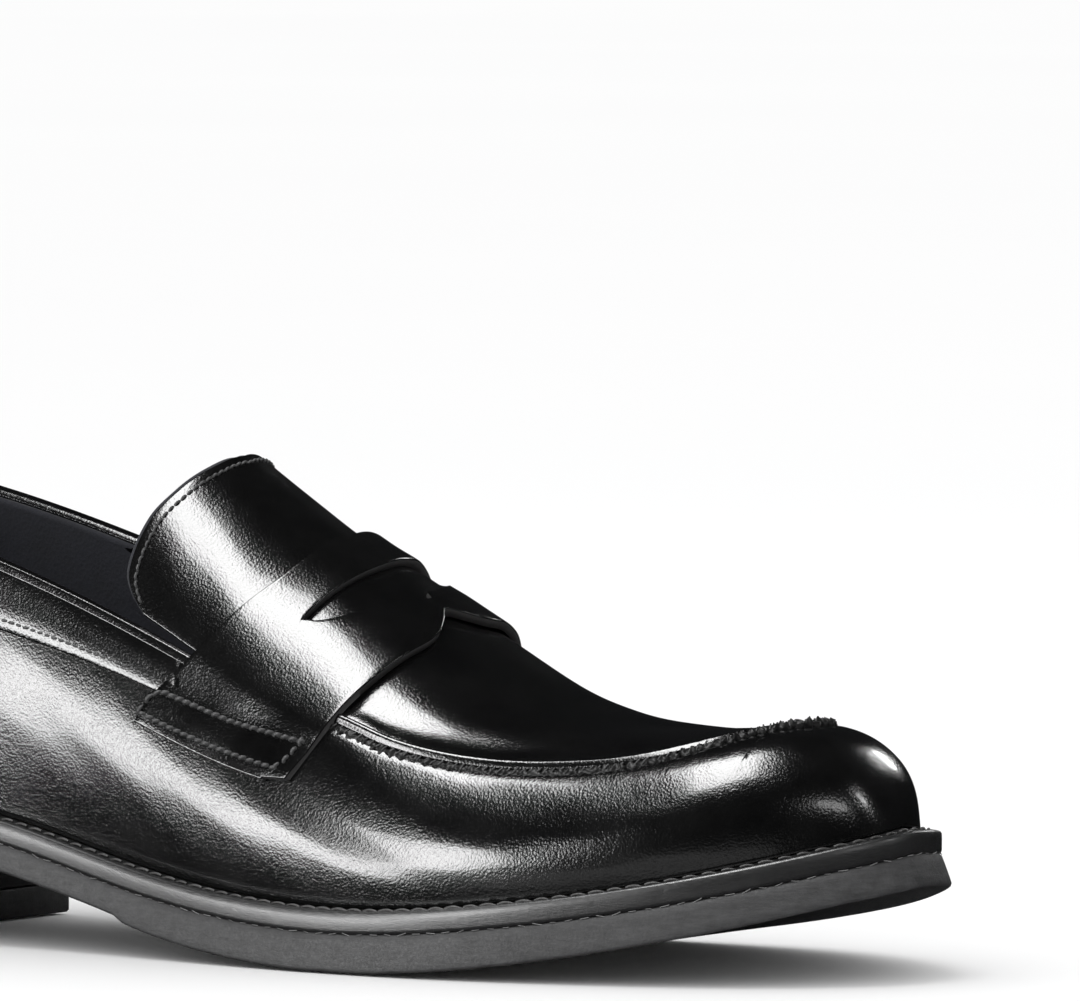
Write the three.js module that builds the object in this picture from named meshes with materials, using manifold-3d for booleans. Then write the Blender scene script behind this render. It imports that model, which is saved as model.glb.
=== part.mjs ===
// Penny loafer, right foot, in millimetres: +X points to the toe, +Y to the inner side of the foot, +Z up.
// The origin is on the ground, below the middle of the sole.
import * as THREE from 'three';
import Module from 'manifold-3d';

// ---- Driving dimensions ----
const SOLE_LENGTH = 276;
const GAP = 0.3;                 // clearance kept between touching pieces
const UPPER = 1.2;               // leather of the vamp, quarters, apron and tongue
const OVERLAY = { lift: 0.5, thick: 0.9 };    // collar bands and counter patch, laid on the quarters
const LINING = { gap: 0.5, thick: 0.8 };
const STRAP = { lift: 0.5, thick: 1.8 };
const STIFFENER = { gap: 0.8, thick: 0.8 };   // toe puff and heel counter, between upper and lining
const WELT = { reach: 4.0, thick: 4.4, inner: 9 };
const OUTSOLE = { heel: 5.2, waist: 5.2, ball: 7.0, toe: 5.7 };
const HEEL = { length: 62, topPiece: 6.0, inset: 0.8 };
const SOCK = { board: 2.0, foam: 1.2, liner: 1.0 };
const NAIL = { radius: 1.2, bore: 1.6, bottom: 8, top: 22 };
const SHANK = { from: 66, to: 158, halfWidth: 6, thick: 1.4 };

// ---- The last: one row of control points for each section from the heel to the toe ----
// [x, outer y, inner y, z] of the feather edge, [x, y, z] of the crown, then for the outer and the inner side
// [side bulge, height of the side point, spread of the shoulder point, height of the shoulder point].
const LAST = [
  [[4, 0, 0, 30.5], [4, 0, 30.5], [0, 0, 1, 0], [0, 0, 1, 0]],
  [[4, 13, 13, 30.5], [3, 0, 49], [1, 0.4, 0.8, 0.8], [1, 0.4, 0.8, 0.8]],
  [[13, 26.5, 26.5, 30.4], [27, 0, 75], [2, 0.4, 0.8, 0.8], [2, 0.4, 0.8, 0.8]],
  [[35, 30.5, 30.5, 30], [25, 0, 107], [2, 0.4, 0.8, 0.8], [2, 0.4, 0.8, 0.8]],
  [[62, 29, 27, 28.8], [42, 0, 129.5], [3, 0.4, 0.8, 0.8], [2, 0.4, 0.85, 0.75]],
  [[92, 30, 23.5, 24.7], [84, 0, 125], [4, 0.35, 0.75, 0.75], [4, 0.4, 0.8, 0.74]],
  [[122, 34.5, 25.5, 17], [117, 0, 106], [4, 0.32, 0.7, 0.8], [5, 0.4, 0.68, 0.83]],
  [[150, 40.5, 33, 12.8], [143, 0.5, 82.5], [3.5, 0.3, 0.66, 0.84], [4, 0.4, 0.56, 0.91]],
  [[178, 43.5, 42.2, 11.4], [173, 1, 64.5], [3, 0.32, 0.64, 0.86], [2, 0.4, 0.46, 0.97]],
  [[204, 42, 42.9, 13.6], [195, 1.5, 48], [2.5, 0.36, 0.64, 0.91], [1.5, 0.42, 0.45, 1]],
  [[228, 36, 42, 17], [227, 2.5, 43.5], [2, 0.4, 0.68, 0.98], [1.5, 0.45, 0.56, 1]],
  [[249, 28, 33, 21.2], [249, 3.5, 47.5], [1.5, 0.45, 0.7, 0.98], [1.5, 0.5, 0.68, 0.95]],
  [[264, 16, 19, 25.3], [263.5, 3.5, 44.8], [1, 0.45, 0.72, 0.95], [1, 0.5, 0.72, 0.85]],
  [[271.5, 7.5, 10, 27.6], [269, 3, 37.5], [0.5, 0.45, 0.85, 0.9], [0.5, 0.5, 0.85, 0.9]],
  [[272, -2, 2, 28.6], [272, 2, 28.6], [0, 0, 1, 0], [0, 0, 1, 0]],
];
const ROWS = LAST.length - 1;    // t runs from 0 at the heel to ROWS at the toe
const AROUND = 6;                // v: 0 the outer feather edge, 3 the crown, 6 the inner feather edge
const CROWN = AROUND / 2;

// ---- Design lines on the last: [v, t] or [t, v], the same on both sides ----
const STRAP_REAR = curveThrough([[0.9, 6.11], [1.19, 6.31], [1.49, 6.6], [1.82, 6.85], [2.27, 7.08],
  [3, 7.16]]);
const STRAP_FRONT = curveThrough([[0.9, 7.46], [1.34, 7.72], [1.61, 7.85], [1.97, 8], [2.45, 8.11],
  [2.75, 8.06], [3, 7.94]]);
const STRAP_END = { rear: 0.96, front: 1.08 };
const SLOT = { halfSpan: 0.97, rear: 7.46, droop: 0.13, width: 0.22 };
const TONGUE_EDGE = curveThrough([[1.5, 6.14], [1.56, 6.02], [1.66, 5.96], [1.98, 6.03], [2.27, 6.15],
  [2.63, 6.26], [3, 6.31]]);
const TONGUE_SIDE = 1.5;
const APRON_SIDE = curveThrough([[6.5, 1.46], [7.78, 1.59], [8.34, 1.6], [9.15, 1.71], [9.83, 1.83],
  [10.3, 1.88], [11.4, 1.9]]);
const APRON_TIP = { start: 9.8, end: 11.1 };
const SIDE_SEAM = 6.86;          // vamp to quarter, below the strap's end
const LINING_JOINT = 3.6;        // the heel's lining to the lining ahead of it
const COUNTER_EDGE = curveThrough([[29, 56], [45, 52], [54, 44], [60, 28], [62, 8], [64, -40]]);

const mm = (fromHeel) => fromHeel - SOLE_LENGTH / 2;
const fromHeel = (x) => x + SOLE_LENGTH / 2;
const toplineHeight = (d) => 90 - 0.1418 * (d - 12) - 0.001075 * (d - 12) ** 2;
const collarDepth = (d) => 19 - 0.09 * (d - 12);

// A smooth curve through a list of [parameter, value] points.
function curveThrough(points) {
  return (p) => {
    const last = points.length - 2;
    let i = points.findIndex((_, k) => k <= last && p < points[k + 1][0]);
    if (i < 0) i = last;
    const [p0, a] = points[i], [p1, b] = points[i + 1];
    const slope = (k) => {
      const lo = points[Math.max(k - 1, 0)], hi = points[Math.min(k + 1, points.length - 1)];
      return (hi[1] - lo[1]) / (hi[0] - lo[0]);
    };
    const h = p1 - p0, u = Math.min(Math.max((p - p0) / h, 0), 1);
    return (1 + 2 * u) * (1 - u) ** 2 * a + u * (1 - u) ** 2 * h * slope(i)
      + u * u * (3 - 2 * u) * b + u * u * (u - 1) * h * slope(i + 1);
  };
}

// ---- The last's surface: a uniform cubic B-spline over the control points ----
function controlRow([feather, crown, ...sides]) {
  const [x, yOuter, yInner, z] = feather;
  const crownPoint = new THREE.Vector3(mm(crown[0]), crown[1], crown[2]);
  const side = (sign, y, [bulge, low, spread, high]) => {
    const f = new THREE.Vector3(mm(x), sign * y, z);
    const rise = crownPoint.clone().sub(f);
    const a = new THREE.Vector3(f.x + rise.x * low, f.y + sign * bulge, z + rise.z * low);
    const b = new THREE.Vector3(f.x + rise.x * high, crownPoint.y - spread * rise.y, z + rise.z * high);
    return [f.clone().multiplyScalar(2).sub(a), f, a, b];
  };
  return [...side(-1, yOuter, sides[0]), crownPoint, ...side(1, yInner, sides[1]).reverse()];
}
function beyond(end, next) {
  return end.map((p, i) => p.clone().multiplyScalar(2).sub(next[i]));
}
const sections = LAST.map(controlRow);
const NET = [beyond(sections[0], sections[1]), ...sections, beyond(sections[ROWS], sections[ROWS - 1])];

const weight = (u) => [(1 - u) ** 3 / 6, (3 * u ** 3 - 6 * u * u + 4) / 6,
  (-3 * u ** 3 + 3 * u * u + 3 * u + 1) / 6, u ** 3 / 6];
const slopeWeight = (u) => [-((1 - u) ** 2) / 2, (3 * u * u - 4 * u) / 2,
  (-3 * u * u + 2 * u + 1) / 2, u * u / 2];

function blend(t, v, alongT, alongV) {
  const i = Math.min(Math.max(Math.floor(t), 0), ROWS - 1);
  const j = Math.min(Math.max(Math.floor(v), 0), AROUND - 1);
  const wt = alongT(t - i), wv = alongV(v - j), sum = new THREE.Vector3();
  for (let a = 0; a < 4; a++) {
    for (let b = 0; b < 4; b++) sum.addScaledVector(NET[i + a][j + b], wt[a] * wv[b]);
  }
  return sum;
}
const onLast = (t, v) => blend(t, v, weight, weight);

function outward(t, v) {
  const POLE = 0.03;
  if (t < POLE) return new THREE.Vector3(-1, 0, 0);
  if (t > ROWS - POLE) return new THREE.Vector3(1, 0, 0);
  return blend(t, v, slopeWeight, weight).cross(blend(t, v, weight, slopeWeight)).normalize();
}

// The v at which a section meets a height given as a function of the distance from the heel.
function crossing(t, side, height) {
  const place = (w) => (side < 0 ? w : AROUND - w);
  const above = (w) => {
    const p = onLast(t, place(w));
    return p.z > height(fromHeel(p.x));
  };
  if (!above(CROWN)) return CROWN;
  let lo = 0, hi = CROWN;
  for (let k = 0; k < 30; k++) {
    const mid = (lo + hi) / 2;
    if (above(mid)) hi = mid; else lo = mid;
  }
  return lo;
}

function apronEdge(t) {
  const along = Math.min(Math.max((t - APRON_TIP.start) / (APRON_TIP.end - APRON_TIP.start), 0), 1);
  return CROWN - (CROWN - APRON_SIDE(t)) * (1 - along ** 2.2) ** 0.55;
}

// ---- Solids ----
const range = (from, to, steps) => Array.from({ length: steps + 1 },
  (_, i) => from + (to - from) * i / steps);

function geometryFrom(points, faces) {
  const geometry = new THREE.BufferGeometry();
  const numbers = points.flatMap((p) => [p.x, p.y, p.z]);
  geometry.setAttribute('position', new THREE.Float32BufferAttribute(numbers, 3));
  geometry.setIndex(faces.flat());
  return geometry;
}

// A sheet over a grid of [t, v] places, between two depths from the last's surface. Equal places are one
// point, and isOpen(row, column) leaves a cell out.
function sheet(grid, outer, innerDepth, isOpen = () => false) {
  const seen = new Map(), top = [], bottom = [];
  const at = typeof outer === 'function' ? outer : () => outer;
  const below = typeof innerDepth === 'function' ? innerDepth : () => innerDepth;
  const index = grid.map((row) => row.map(([t, v]) => {
    const base = onLast(t, v), normal = outward(t, v);
    const key = [base.x, base.y, base.z].map((c) => Math.round(c * 1000)).join();
    if (!seen.has(key)) {
      seen.set(key, top.length);
      top.push(base.clone().addScaledVector(normal, at(t, v)));
      bottom.push(base.clone().addScaledVector(normal, below(t, v)));
    }
    return seen.get(key);
  }));
  const skin = [];
  for (let i = 0; i + 1 < grid.length; i++) {
    for (let j = 0; j + 1 < grid[i].length; j++) {
      if (isOpen(i, j)) continue;
      const [a, b, c, d] = [index[i][j], index[i + 1][j], index[i + 1][j + 1], index[i][j + 1]];
      skin.push([a, b, c], [a, c, d]);
    }
  }
  const faces = skin.filter(([a, b, c]) => a !== b && b !== c && c !== a);
  const directed = new Set(faces.flatMap(([a, b, c]) => [`${a},${b}`, `${b},${c}`, `${c},${a}`]));
  const n = top.length, walls = [];
  for (const edge of directed) {
    const [a, b] = edge.split(',').map(Number);
    if (!directed.has(`${b},${a}`)) walls.push([b, a, a + n], [b, a + n, b + n]);
  }
  const under = faces.map(([a, b, c]) => [a + n, c + n, b + n]);
  return geometryFrom([...top, ...bottom], [...faces, ...under, ...walls]);
}

// The plan outline of the last's feather edge, moved out by a distance, as y over x for one side.
function outline(side, distance) {
  const v = side < 0 ? 0 : AROUND;
  const path = range(0, ROWS, 112).map((t) => {
    const p = onLast(t, v), step = blend(t, v, slopeWeight, weight);
    const out = new THREE.Vector2(-side * step.y, side * step.x).normalize();
    return [p.x + out.x * distance, p.y + out.y * distance];
  });
  const xs = path.map(([x]) => x);
  const y = (x) => {
    let i = path.findIndex(([px], k) => k > 0 && px >= x && path[k - 1][0] <= x);
    if (i < 1) i = x < path[0][0] ? 1 : path.length - 1;
    const [x0, y0] = path[i - 1], [x1, y1] = path[i];
    return x1 === x0 ? y0 : y0 + (y1 - y0) * THREE.MathUtils.clamp((x - x0) / (x1 - x0), 0, 1);
  };
  return { y, first: Math.min(...xs), last: Math.max(...xs) };
}
const featherHeight = (() => {
  const path = range(0, ROWS, 112).map((t) => onLast(t, 0));
  return (x) => {
    const i = path.findIndex((p) => p.x >= x);
    if (i === 0) return path[0].z;
    if (i < 0) return path[path.length - 1].z;
    const a = path[i - 1], b = path[i];
    return a.z + (b.z - a.z) * (x - a.x) / (b.x - a.x || 1);
  };
})();

// Places along a length, closer together towards a rounded end.
function stations(from, to, steps, roundStart = true, roundEnd = true) {
  return range(0, 1, steps).map((u) => {
    if (roundStart && roundEnd) return from + (to - from) * (1 - Math.cos(Math.PI * u)) / 2;
    if (roundStart) return from + (to - from) * (1 - Math.cos(Math.PI * u / 2));
    return from + (to - from) * (roundEnd ? Math.sin(Math.PI * u / 2) : u);
  });
}

// A plate between two sides, a lower and an upper height, all functions of x.
function plate(xs, left, right, low, high) {
  const section = (x) => [[left(x), low(x)], [right(x), low(x)], [right(x), high(x)], [left(x), high(x)]];
  const points = xs.flatMap((x) => section(x).map(([y, z]) => new THREE.Vector3(x, y, z)));
  const faces = [[0, 3, 2], [0, 2, 1]];
  for (let i = 0; i + 1 < xs.length; i++) {
    for (let k = 0; k < 4; k++) {
      const a = 4 * i + k, b = 4 * i + (k + 1) % 4;
      faces.push([a, b, b + 4], [a, b + 4, a + 4]);
    }
  }
  const e = 4 * (xs.length - 1);
  faces.push([e, e + 1, e + 2], [e, e + 2, e + 3]);
  return geometryFrom(points, faces);
}

// A plate with the sole's plan outline moved by a distance, from one place along the sole to another.
function solePlate(distance, from, to, low, high, steps = 36) {
  const END = 0.12;
  const outerSide = outline(-1, distance), innerSide = outline(1, distance);
  const start = from ?? Math.max(outerSide.first, innerSide.first) + END;
  const end = to ?? Math.min(outerSide.last, innerSide.last) - END;
  return plate(stations(start, end, steps, from === null, to === null), outerSide.y, innerSide.y, low, high);
}

const wasm = await Module();
wasm.setup();
function toManifold(geometry) {
  const position = geometry.getAttribute('position');
  return new wasm.Manifold(new wasm.Mesh({
    numProp: 3,
    vertProperties: new Float32Array(position.array),
    triVerts: new Uint32Array(geometry.index.array),
  }));
}
function fromManifold(solid) {
  const mesh = solid.getMesh();
  const geometry = new THREE.BufferGeometry();
  geometry.setAttribute('position', new THREE.BufferAttribute(mesh.vertProperties, 3));
  geometry.setIndex(new THREE.BufferAttribute(mesh.triVerts, 1));
  return geometry;
}
function cut(geometry, cutters) {
  const whole = toManifold(geometry);
  return fromManifold(cutters.reduce((solid, cutter) => solid.subtract(toManifold(cutter)), whole));
}

function post(x, y, bottom, top, radius) {
  const SIDES = 12;
  const points = [], faces = [];
  for (let k = 0; k < SIDES; k++) {
    const angle = 2 * Math.PI * k / SIDES;
    const at = [x + radius * Math.cos(angle), y + radius * Math.sin(angle)];
    points.push(new THREE.Vector3(...at, bottom), new THREE.Vector3(...at, top));
    const a = 2 * k, b = 2 * ((k + 1) % SIDES);
    faces.push([a, b, b + 1], [a, b + 1, a + 1]);
    if (k > 1) faces.push([0, 2 * k, 2 * (k - 1)], [1, 2 * (k - 1) + 1, 2 * k + 1]);
  }
  return geometryFrom(points, faces);
}

// ---- The finished shoe ----
const COLOURS = {
  blackLeather: [0x0b0b0c, 0.22, 0],
  navyLining: [0x14161f, 0.85, 0],
  blueLining: [0x46567a, 0.8, 0],
  rubber: [0x3a3a3c, 0.75, 0],
  weltStrip: [0x19191a, 0.45, 0],
  stackedHeel: [0x202022, 0.5, 0],
  fibreBoard: [0x8a7050, 0.9, 0],
  foam: [0x33373f, 0.95, 0],
  cork: [0x9a6b3f, 0.95, 0],
  steel: [0x9a9da2, 0.35, 1],
};
const shoe = new THREE.Group();
function add(name, geometry, finish, parent = shoe) {
  geometry.computeVertexNormals();
  const [color, roughness, metalness] = COLOURS[finish];
  const mesh = new THREE.Mesh(geometry, new THREE.MeshStandardMaterial({ color, roughness, metalness }));
  mesh.name = name;
  parent.add(mesh);
}

// Leather wall of the vamp: it runs round the toe, with the apron's opening left in its top.
function vamp() {
  const ACROSS = 6;
  const ts = [...range(SIDE_SEAM, 9.9, 10), 10.2, 10.5, 10.7, 10.82, 10.92, 11, 11.06, 11.095, 11.13, 11.3,
    11.6, 12, 12.4, 12.8, 13.2, 13.5, 13.75, 13.9, ROWS];
  const rows = ts.map((t) => {
    const w = apronEdge(t), sideRow = range(0, w, ACROSS);
    return [...sideRow.map((v) => [t, v]), ...sideRow.reverse().map((v) => [t, AROUND - v])];
  });
  return sheet(rows, 0, -UPPER, (i, j) => j === ACROSS && apronEdge(ts[i]) < CROWN);
}

function apronPlug() {
  const ACROSS = 10, SEAM_GAP = 0.025;
  const ts = [...range(7.25, 9.9, 9), 10.2, 10.5, 10.7, 10.82, 10.92, 11, 11.05, APRON_TIP.end - SEAM_GAP];
  const rows = ts.map((t) => {
    const w = Math.min(apronEdge(t + SEAM_GAP) + SEAM_GAP, CROWN);
    return range(w, AROUND - w, ACROSS).map((v) => [t, v]);
  });
  return sheet(rows, 0, -UPPER);
}

// Rows of places up one side of the back of the shoe, between two heights, for the quarters and the trim.
const BACK_ROWS = [0.35, 0.7, 1.1, 1.5, 1.9, 2.2, 2.45, 2.6, 2.66, 2.72, 2.8, 2.9, 3.05, 3.25, 3.5, 3.8,
  4.2, 4.6, 5, 5.5, 6];
const HALF_BACK = 8;             // columns from the feather edge to the back seam
function sideRows(side, ts, lowest, highest, across, backGap) {
  return ts.map((t) => {
    const middle = CROWN - backGap / Math.max(onLast(t, CROWN - 0.5).distanceTo(onLast(t, CROWN)) * 2, 1);
    const low = typeof lowest === 'number' ? lowest : crossing(t, side, lowest);
    const top = Math.min(crossing(t, side, highest), middle);
    const ws = range(Math.min(low, top), top, across);
    return side < 0 ? ws.map((w) => [t, w]) : ws.reverse().map((w) => [t, AROUND - w]);
  });
}

const drop = (distance) => (d) => toplineHeight(d) - distance;
function quarter(side) {
  const ts = [...BACK_ROWS, 6.4, SIDE_SEAM - 0.02];
  const rows = sideRows(side, ts, 0, drop(0), 10, GAP);
  const front = ts.length - 1;
  const w = APRON_SIDE(ts[front]);
  rows[front] = (side < 0 ? range(0, w, 10) : range(AROUND - w, AROUND, 10)).map((v) => [ts[front], v]);
  return sheet(rows, 0, -UPPER);
}

const collarBottom = (d) => toplineHeight(d) - collarDepth(d);
function collarBand(side) {
  const STRIP = 3.6;
  const ts = [...BACK_ROWS.filter((t) => t > 2.1 && t < 6), 5.95];
  const rows = sideRows(side, ts, collarBottom, drop(GAP), 4, STRIP);
  return sheet(rows, OVERLAY.lift + OVERLAY.thick, OVERLAY.lift);
}

function counterPatch() {
  const reach = (v) => {
    let lo = 0.3, hi = 6;
    for (let k = 0; k < 30; k++) {
      const mid = (lo + hi) / 2, p = onLast(mid, v);
      const isPast = p.z > collarBottom(fromHeel(p.x)) - 2 * GAP || fromHeel(p.x) > COUNTER_EDGE(p.z);
      if (isPast) hi = mid; else lo = mid;
    }
    return lo;
  };
  const vs = range(0, AROUND, 20);
  const ts = BACK_ROWS.filter((t) => t < 5);
  return sheet(ts.map((t) => vs.map((v) => [Math.min(t, reach(v)), v])),
    OVERLAY.lift + OVERLAY.thick, OVERLAY.lift);
}

function backStrip() {
  const HALF = 3.2, low = 2.02;
  const top = (() => {
    let t = 2.2;
    while (onLast(t, CROWN).z < toplineHeight(fromHeel(onLast(t, CROWN).x)) - GAP) t += 0.002;
    return t;
  })();
  const rows = range(low, top, 6).map((t) => {
    const perV = onLast(t, CROWN - 0.25).distanceTo(onLast(t, CROWN)) * 4;
    return range(CROWN - HALF / perV, CROWN + HALF / perV, 4).map((v) => [t, v]);
  });
  return sheet(rows, OVERLAY.lift + OVERLAY.thick, OVERLAY.lift);
}

// A thin folded edge that lies on the rim of the foot opening, from strap to strap round the heel.
function toplineBinding() {
  const RISE = 1.3, OUTER = OVERLAY.lift + OVERLAY.thick, INNER = -UPPER - LINING.gap - LINING.thick;
  const path = (side) => BACK_ROWS.filter((t) => t > 2.6 && crossing(t, side, drop(0)) < CROWN)
    .concat([6.3]).map((t) => [t, side]);
  const places = [...path(-1).reverse(), ...path(1)];
  const sections = places.map(([t, side]) => {
    const w = crossing(t, side, drop(0)), v = side < 0 ? w : AROUND - w;
    const base = onLast(t, v), normal = outward(t, v);
    return [[INNER, GAP], [OUTER, GAP], [OUTER, RISE], [INNER, RISE]].map(([depth, rise]) => {
      const p = base.clone().addScaledVector(normal, depth);
      return p.setZ(base.z + rise);
    });
  });
  const faces = [[0, 3, 2], [0, 2, 1]];
  for (let i = 0; i + 1 < sections.length; i++) {
    for (let k = 0; k < 4; k++) {
      const a = 4 * i + k, b = 4 * i + (k + 1) % 4;
      faces.push([a, b, b + 4], [a, b + 4, a + 4]);
    }
  }
  const e = 4 * (sections.length - 1);
  faces.push([e, e + 1, e + 2], [e, e + 2, e + 3]);
  return geometryFrom(sections.flat(), faces);
}

// The saddle strap: a band over the vamp with a crescent slot across its middle.
function saddleStrap() {
  const slotAt = (v) => {
    const u = Math.min(Math.abs(v - CROWN) / SLOT.halfSpan, 1);
    const rear = SLOT.rear - SLOT.droop * u * u;
    return [rear, rear + SLOT.width * Math.sqrt(1 - u * u)];
  };
  const columns = [0, 0.05, 0.1, 0.16, 0.21, ...range(0.2604, 0.7396, 14), 0.79, 0.84, 0.9, 0.95, 1];
  const rows = [0, 0.5, 1, 2, 2.5, 3].map((step) => columns.map((c) => {
    const end = STRAP_END.rear + (STRAP_END.front - STRAP_END.rear) * step / 3;
    const v = end + (AROUND - 2 * end) * c, w = Math.min(v, AROUND - v);
    const [slotRear, slotFront] = slotAt(v), rear = STRAP_REAR(w), front = STRAP_FRONT(w);
    const t = step <= 1 ? rear + (slotRear - rear) * step : slotFront + (front - slotFront) * (step - 2);
    return [t, v];
  }));
  return sheet(rows, STRAP.lift + STRAP.thick, STRAP.lift);
}

function tongue(outer, depth, inset) {
  const ROOT_GAP = 0.06;
  const ws = [TONGUE_SIDE, 1.56, 1.66, 1.82, 2, 2.3, 2.65, CROWN]
    .map((w) => Math.min(w + inset / 22, CROWN));
  const vs = [...ws, ...ws.slice(0, -1).reverse().map((w) => AROUND - w)];
  const rows = range(0, 1, 5).map((u) => vs.map((v) => {
    const w = Math.min(v, AROUND - v);
    const rear = TONGUE_EDGE(w) + inset / 25, root = STRAP_REAR(w) - ROOT_GAP;
    return [rear + (root - rear) * u, v];
  }));
  return sheet(rows, outer, depth);
}

// The lining lies deeper where the toe puff and the heel counter fill the space behind the upper.
function liningTop(t, v) {
  const { smoothstep } = THREE.MathUtils;
  const toe = smoothstep(t, 10.2, 10.8);
  const heel = (1 - smoothstep(t, 3.05, 3.6)) * (1 - smoothstep(onLast(t, v).z, 71, 78));
  return -UPPER - LINING.gap - (2 * STIFFENER.gap + STIFFENER.thick - LINING.gap) * (toe + heel);
}
const liningUnder = (t, v) => liningTop(t, v) - LINING.thick;

function vampLining() {
  const ts = [...range(SIDE_SEAM, 13, 14), 13.15];
  return sheet(ts.map((t) => range(0.15, AROUND - 0.15, 20).map((v) => [t, v])),
    liningTop, liningUnder, (i, j) => ts[i] < 7.2 && Math.abs(j + 0.5 - 10) < 5);
}

function quarterLining(side) {
  const ts = [LINING_JOINT + 0.04, 3.8, 4.2, 4.6, 5, 5.5, 6, 6.4, SIDE_SEAM - 0.04];
  return sheet(sideRows(side, ts, 0.05, drop(GAP), 5, 0), liningTop, liningUnder);
}

function heelLining() {
  const ts = BACK_ROWS.filter((t) => t < LINING_JOINT - 0.05).concat([LINING_JOINT]);
  const both = ts.map((t) => {
    const rows = [-1, 1].map((side) => sideRows(side, [t], 0.05, drop(GAP), HALF_BACK, 0)[0]);
    return [...rows[0], ...rows[1]];
  });
  return sheet(both, liningTop, liningUnder,
    (i, j) => j === HALF_BACK && crossing(ts[i], -1, drop(GAP)) < CROWN);
}

function toePuff() {
  const ts = [10.95, 11.4, 11.9, 12.4, 12.9, 13.3, 13.6];
  return sheet(ts.map((t) => range(0.3, AROUND - 0.3, 16).map((v) => [t, v])),
    -UPPER - STIFFENER.gap, -UPPER - STIFFENER.gap - STIFFENER.thick);
}

// Stiff heel cup behind the lining: its wings run forward low on both sides.
function counterStiffener() {
  const ts = BACK_ROWS.filter((t) => t < 3.1), WINGS_FROM = 1.5, WING_COLUMNS = 3;
  const half = range(0.05, CROWN, HALF_BACK);
  const vs = [...half, ...half.slice(0, -1).reverse().map((v) => AROUND - v)];
  const top = -UPPER - STIFFENER.gap;
  return sheet(ts.map((t) => vs.map((v) => [t, v])), top, top - STIFFENER.thick,
    (i, j) => ts[i] >= WINGS_FROM && Math.min(j, vs.length - 2 - j) >= WING_COLUMNS);
}

// ---- Bottom ----
const weltTop = (x) => featherHeight(x) - GAP;
const weltUnder = (x) => weltTop(x) - WELT.thick;
const outsoleTop = (x) => weltUnder(x) - GAP;
const outsoleThickness = curveThrough([[0, OUTSOLE.heel], [100, OUTSOLE.waist], [150, OUTSOLE.ball],
  [200, OUTSOLE.ball], [240, (OUTSOLE.ball + OUTSOLE.toe) / 2], [SOLE_LENGTH, OUTSOLE.toe]]);
const outsoleUnder = (x) => Math.max(0, outsoleTop(x) - outsoleThickness(fromHeel(x)));
const above = (height) => (x) => featherHeight(x) + height;

const boardTop = GAP + SOCK.board, foamTop = boardTop + GAP + SOCK.foam;
const linerTop = foamTop + GAP + SOCK.liner;
const BOARD_INSET = -5.2, SOCK_INSET = -6.2;

const nailPlaces = [[14, 0], [24, -15], [24, 15], [44, -17], [44, 17]].map(([d, y]) => [mm(d), y]);
const bores = (bottom, top) => nailPlaces.map(([x, y]) => post(x, y, bottom, top, NAIL.bore));

function welt() {
  const hole = solePlate(-WELT.inner, mm(14), mm(258), (x) => weltUnder(x) - 5, (x) => weltTop(x) + 5, 30);
  return cut(solePlate(WELT.reach, null, null, weltUnder, weltTop, 44), [hole]);
}

const heelSide = WELT.reach - HEEL.inset;
const outsole = solePlate(WELT.reach - 0.4, null, null, outsoleUnder, outsoleTop, 44);
const foam = [above(boardTop + GAP), above(foamTop)];
const layers = [
  ['outsole', cut(outsole, bores(5, 40)), 'rubber'],
  ['heel_block', cut(solePlate(heelSide, null, mm(HEEL.length), () => HEEL.topPiece + GAP,
    (x) => outsoleUnder(x) - GAP, 18), bores(3, 40)), 'stackedHeel'],
  ['heel_top_piece', solePlate(heelSide, null, mm(HEEL.length), () => 0, () => HEEL.topPiece, 18), 'rubber'],
  ['welt', welt(), 'weltStrip'],
  ['insole_board', solePlate(BOARD_INSET, mm(9), mm(264), above(GAP), above(boardTop)), 'fibreBoard'],
  ['insole_foam', solePlate(SOCK_INSET, mm(66), mm(262), ...foam, 26), 'foam'],
  ['heel_pad', solePlate(SOCK_INSET, mm(11), mm(66 - GAP), ...foam, 12), 'foam'],
  ['sock_liner', solePlate(SOCK_INSET, mm(11), mm(262), above(foamTop + GAP), above(linerTop)),
    'navyLining'],
];

// ---- Assembly ----
add('vamp', vamp(), 'blackLeather');
add('apron_plug', apronPlug(), 'blackLeather');
add('saddle_strap', saddleStrap(), 'blackLeather');
for (const [name, side] of [['lateral', -1], ['medial', 1]]) {
  add(`${name}_quarter`, quarter(side), 'blackLeather');
  add(`${name}_collar_band`, collarBand(side), 'blackLeather');
  add(`${name}_quarter_lining`, quarterLining(side), 'navyLining');
}
add('counter_patch', counterPatch(), 'blackLeather');
add('back_strip', backStrip(), 'blackLeather');
add('topline_binding', toplineBinding(), 'blackLeather');
add('vamp_lining', vampLining(), 'navyLining');
add('heel_lining', heelLining(), 'blueLining');
add('toe_puff', toePuff(), 'fibreBoard');
add('counter_stiffener', counterStiffener(), 'fibreBoard');
for (const layer of layers) add(...layer);
const cork = solePlate(-WELT.inner - GAP, mm(162), mm(256), (x) => weltUnder(x) + GAP, weltTop, 14);
add('cork_filler', cork, 'cork');
add('steel_shank', plate(range(mm(SHANK.from), mm(SHANK.to), 12), () => -SHANK.halfWidth,
  () => SHANK.halfWidth, (x) => weltTop(x) - SHANK.thick, weltTop), 'steel');
nailPlaces.forEach(([x, y], k) => {
  add(`heel_nail_${k + 1}`, post(x, y, NAIL.bottom, NAIL.top, NAIL.radius), 'steel');
});

const tongueFlap = new THREE.Group();
add('tongue', tongue(0, -UPPER, 0), 'blackLeather', tongueFlap);
add('tongue_lining', tongue(-UPPER - GAP, -UPPER - GAP - LINING.thick, 0.8), 'navyLining', tongueFlap);
shoe.add(tongueFlap);

export default shoe;
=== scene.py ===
import math

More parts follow.
